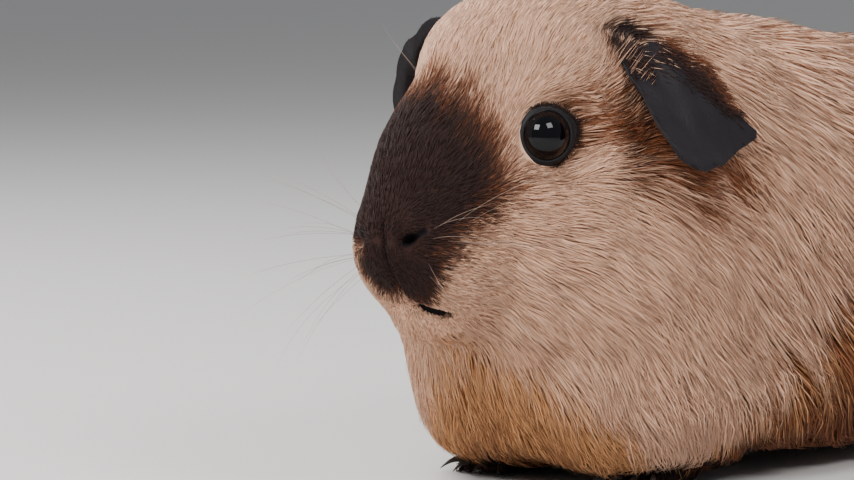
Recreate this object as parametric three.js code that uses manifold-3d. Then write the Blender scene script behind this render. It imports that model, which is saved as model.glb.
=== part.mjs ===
import * as THREE from "three";
import { mergeVertices } from "three/addons/utils/BufferGeometryUtils.js";
import Module from "manifold-3d";

// A short-haired guinea pig standing on its four feet, head raised and turned a little to its right.
// Millimetres. +X runs forward along the trunk, +Y to the animal's left, +Z up. The floor is z = 0.
// The flesh is one smooth field of overlapping masses, out to the tips of the coat. One skin is drawn round
// its front, another round its trunk, and thin cuts part them into the pieces a person names.

const wasm = await Module();
wasm.setup();

// ---- Driving dimensions ----

const GAP = 0.3; // room left at each cut between two pieces
const CUT_ALLOWANCE = 15; // how far a skin runs on past its cut before it is trimmed
const BEYOND = 600; // the size of a block that takes in the whole animal

const EYES = new THREE.Vector3(84.5, -2, 66); // the point midway between the eyes
const HEAD_TURN = THREE.MathUtils.degToRad(-4); // about +Z, so below 0 is to the animal's right
const EYE_RADIUS = 5.5;
const EYE_OUT = 12.8; // from the middle of the head to the centre of an eyeball
const EYE_FORWARD = 1;
const SOCKET_AXIS = new THREE.Vector3(3, 9, 1); // from the ball's centre to its socket's open end
const SOCKET_FLARE = 4; // how much wider than the ball the open end is

// Where the head ends, and where the neck ends, each a cut from the nape down to the throat.
const SKULL = { nape: new THREE.Vector3(58, 0, 96), throat: new THREE.Vector3(97.5, 0, 32) };
const NECK = { nape: new THREE.Vector3(43, 0, 95), throat: new THREE.Vector3(94, 0, 30) };

// The ears hang like petals: each a strip about a curve from its root to its tip, about the eyes' middle.
const EAR_HALF_WIDTH = 9.6;
const EAR_HALF_THICKNESS = 0.8;
const EAR_BLUNTNESS = 0.18; // 0 gives an oval, and more squares its ends
const EAR_FLARE = 0.12; // how much broader it is at the tip than at the middle
const EAR_FRONT = 0.35; // how much broader its front half is than its rear one
const EAR_SLANT = 0.25; // how much further its rear corner hangs than its front one
const EAR_HOLLOW = 0.01; // its hollow, as the fall at one millimetre from the middle
const EAR_END = 1e-3; // keeps its very ends from running out to a spike
const EARS = {
  left: {
    root: new THREE.Vector3(-18, 15.5, 18),
    crook: new THREE.Vector3(-15, 30, 9),
    tip: new THREE.Vector3(-25, 35, -5),
    across: new THREE.Vector3(-1, -0.1, 0.3),
  },
  right: {
    root: new THREE.Vector3(-20, -15.5, 18),
    crook: new THREE.Vector3(-21, -30, 17),
    tip: new THREE.Vector3(-22, -36, -2),
    across: new THREE.Vector3(-1, 0.1, 0.1),
  },
};

const FORE = {
  name: "fore",
  shoulder: new THREE.Vector3(56, 17, 28),
  wrist: new THREE.Vector3(55, 16.5, 9),
  heel: new THREE.Vector3(55, 16.5, 4.6),
  ball: new THREE.Vector3(61, 16.8, 4),
  thick: [11, 7.4], // radii at the shoulder and the wrist
  sole: [5.6, 5.4], // radii at the heel and the ball of the foot
  toes: [-30, -10, 10, 30], // each toe's turn from the foot's own line, degrees
  toeLength: 8,
  claw: 4.5,
  cut: 9,
};
const HIND = {
  name: "hind",
  shoulder: new THREE.Vector3(-50, 29, 28),
  wrist: new THREE.Vector3(-72, 30, 9),
  heel: new THREE.Vector3(-73, 30, 5),
  ball: new THREE.Vector3(-49, 32, 3.8),
  thick: [15, 7.5],
  sole: [5.4, 5.2],
  toes: [-22, 2, 26],
  toeLength: 10,
  claw: 5.5,
  cut: 8.5,
};
const TOE_RADIUS = 1.9;
const TOE_TAPER = 0.85;
const TOE_START = 1; // how far before the ball of the foot a toe begins
const TOE_HEIGHTS = [2.4, 1.7]; // above the floor, at its root and at its tip
const CLAW_RADIUS = 0.95;
const CLAW_LEAD = 0.6; // from the tip of its toe to the back of a claw
const CLAW_HEIGHT = 2.1;
const CLAW_BEND = 1.1; // how far its point bends down

// ---- The field of masses ----

const HEAD_SOFTNESS = 1.8; // how widely neighbouring masses melt into each other
const TRUNK_SOFTNESS = 4;
const NECK_SOFTNESS = 4;
const AT_MIDDLE = 1e-6; // nearer than this, a point counts as the middle of a mass

// One mass: an ellipsoid's middle, radii and pitch in degrees (positive brings its front down).
const mass = (x, y, z, rx, ry, rz, pitch = 0) => ({
  middle: new THREE.Vector3(x, y, z),
  radii: new THREE.Vector3(rx, ry, rz),
  pitch: THREE.MathUtils.degToRad(pitch),
});

// The same mass on both sides of the body.
const pair = (x, y, z, ...rest) => [mass(x, y, z, ...rest), mass(x, -y, z, ...rest)];

// Masses of the head, about the point between the eyes.
const HEAD = [
  mass(-10, 0, 8, 22, 22, 20.5), // cranium
  mass(3, 0, 5, 16.5, 14.5, 17, 20), // brow
  mass(15.5, 0, -3.5, 18, 10.5, 12.6, 48), // bridge of the nose
  mass(24.6, 0, -17.2, 8, 10, 9.2), // nose
  ...pair(18.5, 6.3, -23, 9.2, 7.2, 8.2, 10), // whisker pads
  ...pair(9, 6.5, -13, 16, 8.5, 13, 25), // sides of the face
  mass(15, 0, -30, 9, 8.5, 7, 12), // chin
  ...pair(-5, 12, -18, 20, 13.5, 16.5, 10), // cheeks
  mass(-10, 0, -25, 21, 20, 15, 5), // throat
  mass(-28, 0, -4, 19, 28, 28, 15), // ruff behind the cheeks
];

// Masses of the trunk and of the upper legs that lie in it, from the floor.
const TRUNK = [
  mass(70, 0, 35, 25, 30.5, 27), // chest
  ...pair(60, 17, 35, 22, 15, 30), // shoulders
  mass(48, 0, 60, 34, 30, 31), // withers
  mass(14, 0, 50, 50, 39, 36), // ribs
  mass(26, 0, 36, 44, 33, 27), // brisket
  mass(-26, 0, 45, 52, 41, 35), // loins
  mass(-18, 0, 37, 60, 43, 29), // belly
  ...pair(61, 12, 18, 24, 17, 14), // hanging coat of the chest
  ...pair(22, 23, 20, 38, 16, 16.5), // hanging coat of the flanks, before and behind
  ...pair(-22, 25, 22, 40, 16, 18),
  mass(-64, 0, 42, 53, 42, 37), // rump
  ...pair(-58, 25, 30, 29, 19, 25), // haunches
];

// Distance from a point to a mass, near enough close to its surface, and below 0 inside.
function distance(point, { middle, radii, pitch }) {
  const local = point.clone().sub(middle);
  const x = local.x * Math.cos(pitch) - local.z * Math.sin(pitch);
  const z = local.x * Math.sin(pitch) + local.z * Math.cos(pitch);
  local.set(x, local.y, z).divide(radii);
  const reach = local.length();
  return reach < AT_MIDDLE ? -radii.x : (reach * (reach - 1)) / local.divide(radii).length();
}

// The masses melted into one: a smooth minimum of their distances.
function melt(distances, softness) {
  const sum = distances.reduce((total, d) => total + Math.exp(-d / softness), 0);
  return -softness * Math.log(sum);
}

const UP = new THREE.Vector3(0, 0, 1);
const toHead = (point) => point.clone().sub(EYES).applyAxisAngle(UP, -HEAD_TURN);
const fromHead = (point) => point.clone().applyAxisAngle(UP, HEAD_TURN).add(EYES);

function body(point) {
  const inHead = toHead(point);
  const head = melt(HEAD.map((m) => distance(inHead, m)), HEAD_SOFTNESS);
  const trunk = melt(TRUNK.map((m) => distance(point, m)), TRUNK_SOFTNESS);
  return melt([head, trunk], NECK_SOFTNESS);
}

// ---- Solids ----

function solidFrom(geometry) {
  const bare = geometry.clone();
  bare.deleteAttribute("normal");
  bare.deleteAttribute("uv");
  const merged = mergeVertices(bare, 1e-4);
  return new wasm.Manifold(
    new wasm.Mesh({
      numProp: 3,
      vertProperties: merged.attributes.position.array,
      triVerts: new Uint32Array(merged.index.array),
    }),
  );
}

function geometryFrom(solid) {
  const mesh = solid.getMesh();
  return new THREE.BufferGeometry()
    .setAttribute("position", new THREE.BufferAttribute(mesh.vertProperties, 3))
    .setIndex(new THREE.BufferAttribute(mesh.triVerts, 1));
}

// Moves every vertex of a geometry to the place that a function gives for it.
function reshape(geometry, place) {
  const at = geometry.attributes.position;
  for (let i = 0; i < at.count; i++) {
    const p = place(new THREE.Vector3().fromBufferAttribute(at, i));
    at.setXYZ(i, p.x, p.y, p.z);
  }
  return geometry;
}

const towards = (axis) =>
  new THREE.Quaternion().setFromUnitVectors(new THREE.Vector3(0, 1, 0), axis.clone().normalize());

const MARCH = 2; // the step out from a core line while it is still inside
const HALVINGS = 12; // of that step, to find where the field ends

// A skin drawn round the field, before a cut (side 1) or behind it (side -1): each vertex of a sphere goes out
// from its own place on a core line to where the field ends, or a little past the cut, where it is trimmed.
function skinOf(coreStart, coreEnd, cut, side, around, along) {
  const axis = coreEnd.clone().sub(coreStart);
  const turn = towards(axis);
  const field = (p) => Math.max(body(p), -side * cut.distanceToPoint(p) - CUT_ALLOWANCE);
  const geometry = reshape(new THREE.SphereGeometry(1, around, along), (unit) => {
    const start = coreStart.clone().addScaledVector(axis, (unit.y + 1) / 2);
    const ray = unit.clone().applyQuaternion(turn);
    let inside = 0;
    let outside = MARCH;
    while (field(start.clone().addScaledVector(ray, outside)) < 0) {
      inside = outside;
      outside += MARCH;
    }
    for (let i = 0; i < HALVINGS; i++) {
      const half = (inside + outside) / 2;
      if (field(start.clone().addScaledVector(ray, half)) < 0) inside = half;
      else outside = half;
    }
    return start.addScaledVector(ray, inside);
  });
  return solidFrom(geometry).intersect(beyond(cut, side));
}

// A rounded bar from one point to another, with a radius for each end.
function bar(from, to, [radius, endRadius], grow = 0, around = 9, along = 6) {
  const axis = to.clone().sub(from);
  const turn = towards(axis);
  const geometry = reshape(new THREE.SphereGeometry(1, around, along), (p) => {
    const share = p.y < 0 ? 0 : 1;
    const size = (share ? endRadius : radius) + grow;
    return p.applyQuaternion(turn).multiplyScalar(size).addScaledVector(axis, share).add(from);
  });
  return solidFrom(geometry);
}

// Everything before a plane (side 1) or behind it (side -1), less half a gap.
function beyond(plane, side) {
  const normal = plane.normal.clone().multiplyScalar(side);
  const at = plane.coplanarPoint(new THREE.Vector3()).addScaledVector(normal, (BEYOND + GAP) / 2);
  const box = new THREE.BoxGeometry(BEYOND, BEYOND, BEYOND).applyQuaternion(towards(normal));
  return solidFrom(box.translate(at.x, at.y, at.z));
}

// The cut from a nape point down to a throat point. Its normal points forward.
function cutAt({ nape, throat }) {
  const along = throat.clone().sub(nape);
  const normal = new THREE.Vector3(-along.z, 0, along.x).normalize();
  return new THREE.Plane().setFromNormalAndCoplanarPoint(normal, nape);
}

const level = (height) => new THREE.Plane(UP, -height);
const floor = solidFrom(new THREE.BoxGeometry(BEYOND, BEYOND, BEYOND).translate(0, 0, -BEYOND / 2));

// ---- Ears, eyes, feet and claws ----

// A petal: a flat oval with a blunt end, bent along its curve and a little hollow underneath.
function earSolid(word, grow = 0) {
  const { root, crook, tip, across } = EARS[word];
  const spine = new THREE.QuadraticBezierCurve3(root, crook, tip);
  const side = Math.sign(root.y);
  const geometry = reshape(new THREE.SphereGeometry(1, 16, 10), (p) => {
    const share = (1 + p.y) / 2;
    const along = spine.getTangent(share);
    const wide = across.clone().addScaledVector(along, -across.dot(along)).normalize();
    const outward = along.clone().cross(wide).multiplyScalar(-side);
    const blunt = Math.max(1 - p.y * p.y, EAR_END) ** -EAR_BLUNTNESS;
    const fullness = (1 + EAR_FLARE * p.y) * (p.x < 0 ? 1 + EAR_FRONT : 1);
    const breadth = p.x * blunt * fullness * (EAR_HALF_WIDTH + grow);
    const lift = p.z * (EAR_HALF_THICKNESS + grow) * side - EAR_HOLLOW * breadth * breadth;
    const reach = grow * p.y + EAR_SLANT * breadth * share;
    const local = spine.getPoint(share).addScaledVector(along, reach);
    return fromHead(local.addScaledVector(wide, breadth).addScaledVector(outward, lift));
  });
  return solidFrom(geometry);
}

const eyeMiddle = (side) => new THREE.Vector3(EYE_FORWARD, side * EYE_OUT, 0);

// The hollow an eyeball sits in: the ball's own shape, opening outwards as a cone.
function socketSolid(side) {
  const out = SOCKET_AXIS.clone().multiply(new THREE.Vector3(1, side, 1));
  const open = fromHead(eyeMiddle(side).add(out));
  const radii = [EYE_RADIUS + GAP, EYE_RADIUS + SOCKET_FLARE];
  return bar(fromHead(eyeMiddle(side)), open, radii, 0, 16, 10);
}

function eyeSolid(side) {
  const middle = fromHead(eyeMiddle(side));
  const ball = new THREE.SphereGeometry(EYE_RADIUS, 18, 12);
  return solidFrom(ball.translate(middle.x, middle.y, middle.z));
}

// Where a toe starts and ends, on the animal's left or right.
function toeLine(leg, side, turn) {
  const flip = new THREE.Vector3(1, side, 1);
  const line = leg.ball.clone().sub(leg.heel).setZ(0).normalize();
  line.applyAxisAngle(UP, THREE.MathUtils.degToRad(turn));
  const [rootHeight, tipHeight] = TOE_HEIGHTS;
  const root = leg.ball.clone().setZ(rootHeight).addScaledVector(line, TOE_START);
  const tip = root.clone().addScaledVector(line, leg.toeLength).setZ(tipHeight);
  return { root: root.multiply(flip), tip: tip.multiply(flip), line: line.multiply(flip) };
}

// A claw: a cone bent down towards its tip, clear of the floor.
function clawSolid(leg, side, turn, grow = 0) {
  const { tip, line } = toeLine(leg, side, turn);
  const cone = new THREE.ConeGeometry(CLAW_RADIUS + grow, leg.claw + grow, 5, 2);
  const geometry = reshape(cone, (p) => {
    const share = (p.y + leg.claw / 2) / leg.claw;
    return p.setZ(p.z - CLAW_BEND * share * share);
  });
  const turnTo = new THREE.Quaternion().setFromRotationMatrix(
    new THREE.Matrix4().makeBasis(line.clone().cross(UP), line, UP),
  );
  const at = tip.clone().addScaledVector(line, leg.claw / 2 + CLAW_LEAD).setZ(CLAW_HEIGHT);
  return solidFrom(geometry.applyQuaternion(turnTo).translate(at.x, at.y, at.z));
}

// A leg and its foot, set into the trunk above.
function legSolid(leg, side, grow = 0) {
  const flip = new THREE.Vector3(1, side, 1);
  const place = (point) => point.clone().multiply(flip);
  const shank = bar(place(leg.shoulder), place(leg.wrist), leg.thick, grow);
  return shank.add(bar(place(leg.heel), place(leg.ball), leg.sole, grow));
}

function toesSolid(leg, side, grow = 0) {
  const bars = leg.toes.map((turn) => {
    const { root, tip } = toeLine(leg, side, turn);
    return bar(root, tip, [TOE_RADIUS, TOE_RADIUS * TOE_TAPER], grow, 6, 4);
  });
  return bars.reduce((joined, next) => joined.add(next));
}

// ---- Assembly ----

const fur = (color) => new THREE.MeshStandardMaterial({ color, roughness: 0.85, metalness: 0 });
const FINISH = {
  cream: fur("#d9b993"),
  dark: fur("#33251f"),
  ear: new THREE.MeshStandardMaterial({ color: "#2b292d", roughness: 0.6, metalness: 0 }),
  eye: new THREE.MeshStandardMaterial({ color: "#0b0808", roughness: 0.05, metalness: 0 }),
  claw: new THREE.MeshStandardMaterial({ color: "#2a2320", roughness: 0.4, metalness: 0 }),
};

const part = new THREE.Group();

function addPiece(name, solid, finish) {
  const piece = new THREE.Mesh(geometryFrom(solid), finish);
  piece.name = name;
  part.add(piece);
}

const SIDES = [
  ["left", 1],
  ["right", -1],
];
const skullCut = cutAt(SKULL);
const neckCut = cutAt(NECK);

let front = skinOf(new THREE.Vector3(68, 0, 60), new THREE.Vector3(102, -3, 50), neckCut, 1, 38, 33);
let trunk = skinOf(new THREE.Vector3(-76, 0, 42), new THREE.Vector3(52, 0, 44), neckCut, -1, 32, 26);

for (const [word, side] of SIDES) {
  front = front.subtract(socketSolid(side)).subtract(earSolid(word, GAP));
  addPiece(`eye_${word}`, eyeSolid(side), FINISH.eye);
  addPiece(`ear_${word}`, earSolid(word), FINISH.ear);

  for (const leg of [FORE, HIND]) {
    const ankle = level(leg.cut);
    trunk = trunk.subtract(legSolid(leg, side, GAP)).subtract(toesSolid(leg, side, GAP));
    const whole = legSolid(leg, side).add(toesSolid(leg, side)).subtract(floor);
    let foot = whole.intersect(beyond(ankle, -1));
    leg.toes.forEach((turn, i) => {
      foot = foot.subtract(clawSolid(leg, side, turn, GAP));
      addPiece(`${leg.name}claw_${word}_${i + 1}`, clawSolid(leg, side, turn), FINISH.claw);
    });
    addPiece(`${leg.name}foot_${word}`, foot, FINISH.dark);
    addPiece(`${leg.name}leg_${word}`, whole.intersect(beyond(ankle, 1)), FINISH.cream);
  }
}

addPiece("head", front.intersect(beyond(skullCut, 1)), FINISH.cream);
addPiece("neck", front.intersect(beyond(skullCut, -1)), FINISH.cream);
addPiece("trunk", trunk, FINISH.cream);

export default part;
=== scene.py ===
"""A life-size guinea pig: one skin under a coat of mesh tufts, with eyes, ears, claws and whiskers.

Lengths are in millimetres in the row frame, and a mesh turns them into metres when it is made.
"""

import logging
import math
from dataclasses import dataclass, field
from enum import Enum
from typing import Callable

import bmesh
import bpy
import numpy as np
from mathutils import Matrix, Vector
from mathutils.bvhtree import BVHTree
from mathutils.kdtree import KDTree


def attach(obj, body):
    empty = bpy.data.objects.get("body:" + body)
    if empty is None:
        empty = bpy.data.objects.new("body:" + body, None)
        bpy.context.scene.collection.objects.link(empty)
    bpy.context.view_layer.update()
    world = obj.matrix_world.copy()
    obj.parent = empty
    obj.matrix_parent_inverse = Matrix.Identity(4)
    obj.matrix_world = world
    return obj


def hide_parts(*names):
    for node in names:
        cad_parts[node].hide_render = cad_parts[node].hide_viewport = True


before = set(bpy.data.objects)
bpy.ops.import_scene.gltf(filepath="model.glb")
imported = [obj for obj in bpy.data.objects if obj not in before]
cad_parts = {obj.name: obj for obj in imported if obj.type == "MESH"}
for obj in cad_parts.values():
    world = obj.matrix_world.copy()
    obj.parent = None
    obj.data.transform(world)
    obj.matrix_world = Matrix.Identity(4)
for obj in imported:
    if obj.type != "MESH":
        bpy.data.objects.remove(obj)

Array = np.ndarray
Point = tuple[float, float, float]
Pair = tuple[float, float]
log = logging.getLogger("guinea_pig")

MM = 0.001
UP = np.array([0.0, 0.0, 1.0])
EYES = np.array([84.5, -2.0, 66.0])  # midway between the eyes
HEAD_TURN = math.radians(-4)
HEAD_AXES = np.array(
    [
        [math.cos(HEAD_TURN), math.sin(HEAD_TURN), 0.0],
        [-math.sin(HEAD_TURN), math.cos(HEAD_TURN), 0.0],
        [0.0, 0.0, 1.0],
    ]
)
SEED = 20
FOREFEET, HINDFEET = 62.0, -58.0  # how far forward the feet are
FORE_TRACK, HIND_TRACK = 16.7, 31.0  # how far out they are
NOSE_MIDDLE = (27.0, 0.0, -23.0)  # a head place behind the nose and mouth


class Side(Enum):
    """The animal's left or right."""

    LEFT = 1
    RIGHT = -1

    @property
    def word(self) -> str:
        """The side's name in a node's name."""
        return self.name.lower()


# ---- Arithmetic on many points at once ----


def unit(vectors: Array) -> Array:
    """Vectors of length one in the same directions."""
    return vectors / np.maximum(np.linalg.norm(vectors, axis=-1, keepdims=True), 1e-9)


def from_head(points: Array) -> Array:
    """Head places, about the middle of the eyes, as places in the row frame."""
    return np.asarray(points, float) @ HEAD_AXES + EYES


def to_head(points: Array) -> Array:
    """Places in the row frame as head places."""
    return (np.asarray(points, float) - EYES) @ HEAD_AXES.T


def to_left(points: Array) -> Array:
    """Places with those of the right side mirrored to the left."""
    return points * [1, 0, 1] + np.abs(points) * [0, 1, 0]


def smooth_step(value: Array, low: float, high: float) -> Array:
    """0 below low, 1 above high, and a smooth rise between them."""
    share = np.clip((value - low) / (high - low), 0.0, 1.0)
    return share * share * (3 - 2 * share)


def bump(distance: Array, radius: float) -> Array:
    """A soft bump: 1 at no distance, and near 0 past about twice the radius."""
    return np.exp(-np.square(distance / radius))


def line_distance(points: Array, corners: list[Point]) -> Array:
    """How far each point is from a broken line.

    Args:
        points: the points, one to a row.
        corners: the line's corners in order.

    Returns:
        One distance for each point.
    """
    best = np.full(len(points), 1e9)
    for start, end in zip(corners[:-1], corners[1:]):
        a, b = np.array(start, float), np.array(end, float)
        share = np.clip(((points - a) @ (b - a)) / ((b - a) @ (b - a)), 0, 1)
        best = np.minimum(best, np.linalg.norm(points - a - share[:, None] * (b - a), axis=1))
    return best


def ripple(points: Array, size: float, seed: int) -> Array:
    """Smooth noise from -1 to 1 made of crossing waves.

    Args:
        points: the points, one to a row.
        size: the length of the waves.
        seed: picks one set of waves.

    Returns:
        One value for each point.
    """
    rng = np.random.default_rng(seed)
    total = np.zeros(len(points))
    for _ in range(7):
        wave = unit(rng.normal(size=3)) * rng.uniform(0.6, 1.6) * 2 * math.pi / size
        total += np.sin(points @ wave + rng.uniform(0, 2 * math.pi))
    return total / 3.2  # the waves rarely add up to more than this


# ---- Surfaces and meshes ----


def mesh_places(mesh: bpy.types.Mesh) -> Array:
    """The places of a mesh's vertices.

    Args:
        mesh: the mesh.

    Returns:
        The places, one to a row.
    """
    places = np.empty(len(mesh.vertices) * 3, np.float32)
    mesh.vertices.foreach_get("co", places)
    return places.reshape(-1, 3).astype(float) / MM


def set_places(mesh: bpy.types.Mesh, places: Array) -> None:
    """Moves a mesh's vertices to new places."""
    mesh.vertices.foreach_set("co", np.ascontiguousarray(places * MM, np.float32).ravel())
    mesh.update()


def mesh_normals(mesh: bpy.types.Mesh) -> Array:
    """The smooth normals at a mesh's vertices.

    Args:
        mesh: the mesh.

    Returns:
        The normals, one to a row.
    """
    normals = np.empty(len(mesh.vertices) * 3, np.float32)
    mesh.vertex_normals.foreach_get("vector", normals)
    return normals.reshape(-1, 3).astype(float)


def add_object(name: str, mesh: bpy.types.Mesh) -> bpy.types.Object:
    """A smooth-shaded object at the origin for a mesh.

    Args:
        name: the object's name.
        mesh: its mesh.

    Returns:
        The object, linked to the scene.
    """
    mesh.shade_smooth()
    piece = bpy.data.objects.new(name, mesh)
    bpy.context.scene.collection.objects.link(piece)
    return piece


def set_marks(mesh: bpy.types.Mesh, marks: dict[str, Array]) -> None:
    """Writes one named number for each vertex of a mesh.

    Args:
        mesh: the mesh.
        marks: the numbers by name.
    """
    for name, values in marks.items():
        layer = mesh.attributes.new(name, "FLOAT", "POINT")
        layer.data.foreach_set("value", np.ascontiguousarray(values, np.float32))


def soften(bm: bmesh.types.BMesh, verts: list[bmesh.types.BMVert], rounds: int) -> None:
    """Smooths some of a bmesh's vertices.

    Args:
        bm: the bmesh.
        verts: the vertices.
        rounds: how many times they are smoothed.
    """
    for _ in range(rounds):
        bmesh.ops.smooth_vert(bm, verts=verts, factor=0.5, use_axis_x=True, use_axis_y=True, use_axis_z=True)


def finish_mesh(bm: bmesh.types.BMesh, name: str) -> bpy.types.Mesh:
    """The mesh of a finished bmesh, which is freed.

    Args:
        bm: the bmesh.
        name: the mesh's name.

    Returns:
        The mesh.
    """
    mesh = bpy.data.meshes.new(name)
    bm.to_mesh(mesh)
    bm.free()
    return mesh


def triangle_mesh(name: str, places: Array, faces: Array, spots: Array) -> bpy.types.Mesh:
    """A mesh of triangles with a map for baking.

    Args:
        name: the mesh's name.
        places: its vertices.
        faces: the triangles' corners.
        spots: each vertex's place on the map.

    Returns:
        The mesh.
    """
    mesh = bpy.data.meshes.new(name)
    corners = faces.astype(np.int32).ravel()
    mesh.vertices.add(len(places))
    mesh.vertices.foreach_set("co", np.ascontiguousarray(places * MM, np.float32).ravel())
    mesh.loops.add(len(corners))
    mesh.loops.foreach_set("vertex_index", corners)
    mesh.polygons.add(len(faces))
    mesh.polygons.foreach_set("loop_start", np.arange(0, len(corners), 3, dtype=np.int32))
    mesh.update(calc_edges=True)
    layer = mesh.uv_layers.new(name="OFBake")
    layer.data.foreach_set("uv", np.ascontiguousarray(spots[corners], np.float32).ravel())
    return mesh


class Surface:
    """A mesh as arrays, with a tree that finds the nearest place on it."""

    def __init__(self, mesh: bpy.types.Mesh) -> None:
        """Reads a mesh and sorts its faces into the tree.

        Args:
            mesh: the mesh.
        """
        self.places = mesh_places(mesh)
        self.normals = mesh_normals(mesh)
        mesh.calc_loop_triangles()
        corners = np.empty(len(mesh.loop_triangles) * 3, np.int32)
        mesh.loop_triangles.foreach_get("vertices", corners)
        self.faces = corners.reshape(-1, 3)
        self.tree = BVHTree.FromPolygons(self.places.tolist(), self.faces.tolist())
        self.room = np.full(len(self.places), 99.0)  # how far each vertex is from a bare feature

    def areas(self) -> Array:
        """Each triangle's area."""
        a, b, c = (self.places[self.faces[:, i]] for i in range(3))
        return np.linalg.norm(np.cross(b - a, c - a), axis=1) / 2

    def nearest(self, points: Array) -> tuple[Array, Array]:
        """The nearest place on the surface to each point.

        Args:
            points: the points, one to a row.

        Returns:
            The places, and the surface's smooth normals there.
        """
        places = np.empty((len(points), 3))
        index = np.empty(len(points), int)
        find = self.tree.find_nearest
        for i, point in enumerate(points.tolist()):
            place, _, index[i], _ = find(point)
            places[i] = place
        return places, self.blend_normals(places, index)

    def blend_normals(self, places: Array, index: Array) -> Array:
        """Smooth normals at places that lie on the given triangles.

        Args:
            places: the places.
            index: the triangle of each.

        Returns:
            The normals, one to a row.
        """
        corners = self.faces[index]
        a, b, c = (self.places[corners[:, i]] for i in range(3))
        across = np.cross(b - a, c - a)
        size = np.maximum(np.einsum("ij,ij->i", across, across), 1e-12)
        u = np.einsum("ij,ij->i", np.cross(c - b, places - b), across) / size
        v = np.einsum("ij,ij->i", np.cross(a - c, places - c), across) / size
        w = np.stack([u, v, 1 - u - v], 1)
        return unit(np.einsum("ij,ijk->ik", w, self.normals[corners]))


# ---- The comb: lie, length, depth and thickness of the coat ----


@dataclass(frozen=True)
class Stroke:
    """One stroke of the comb.

    The place is a head place or, for the body, one in the row frame. Each stroke off the middle is made on
    both sides. Length, depth and width are a tuft's, and count is how many grow on a square millimetre.
    """

    where: str
    place: Point
    lie: Point
    length: float
    depth: float
    width: float
    count: float


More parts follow.
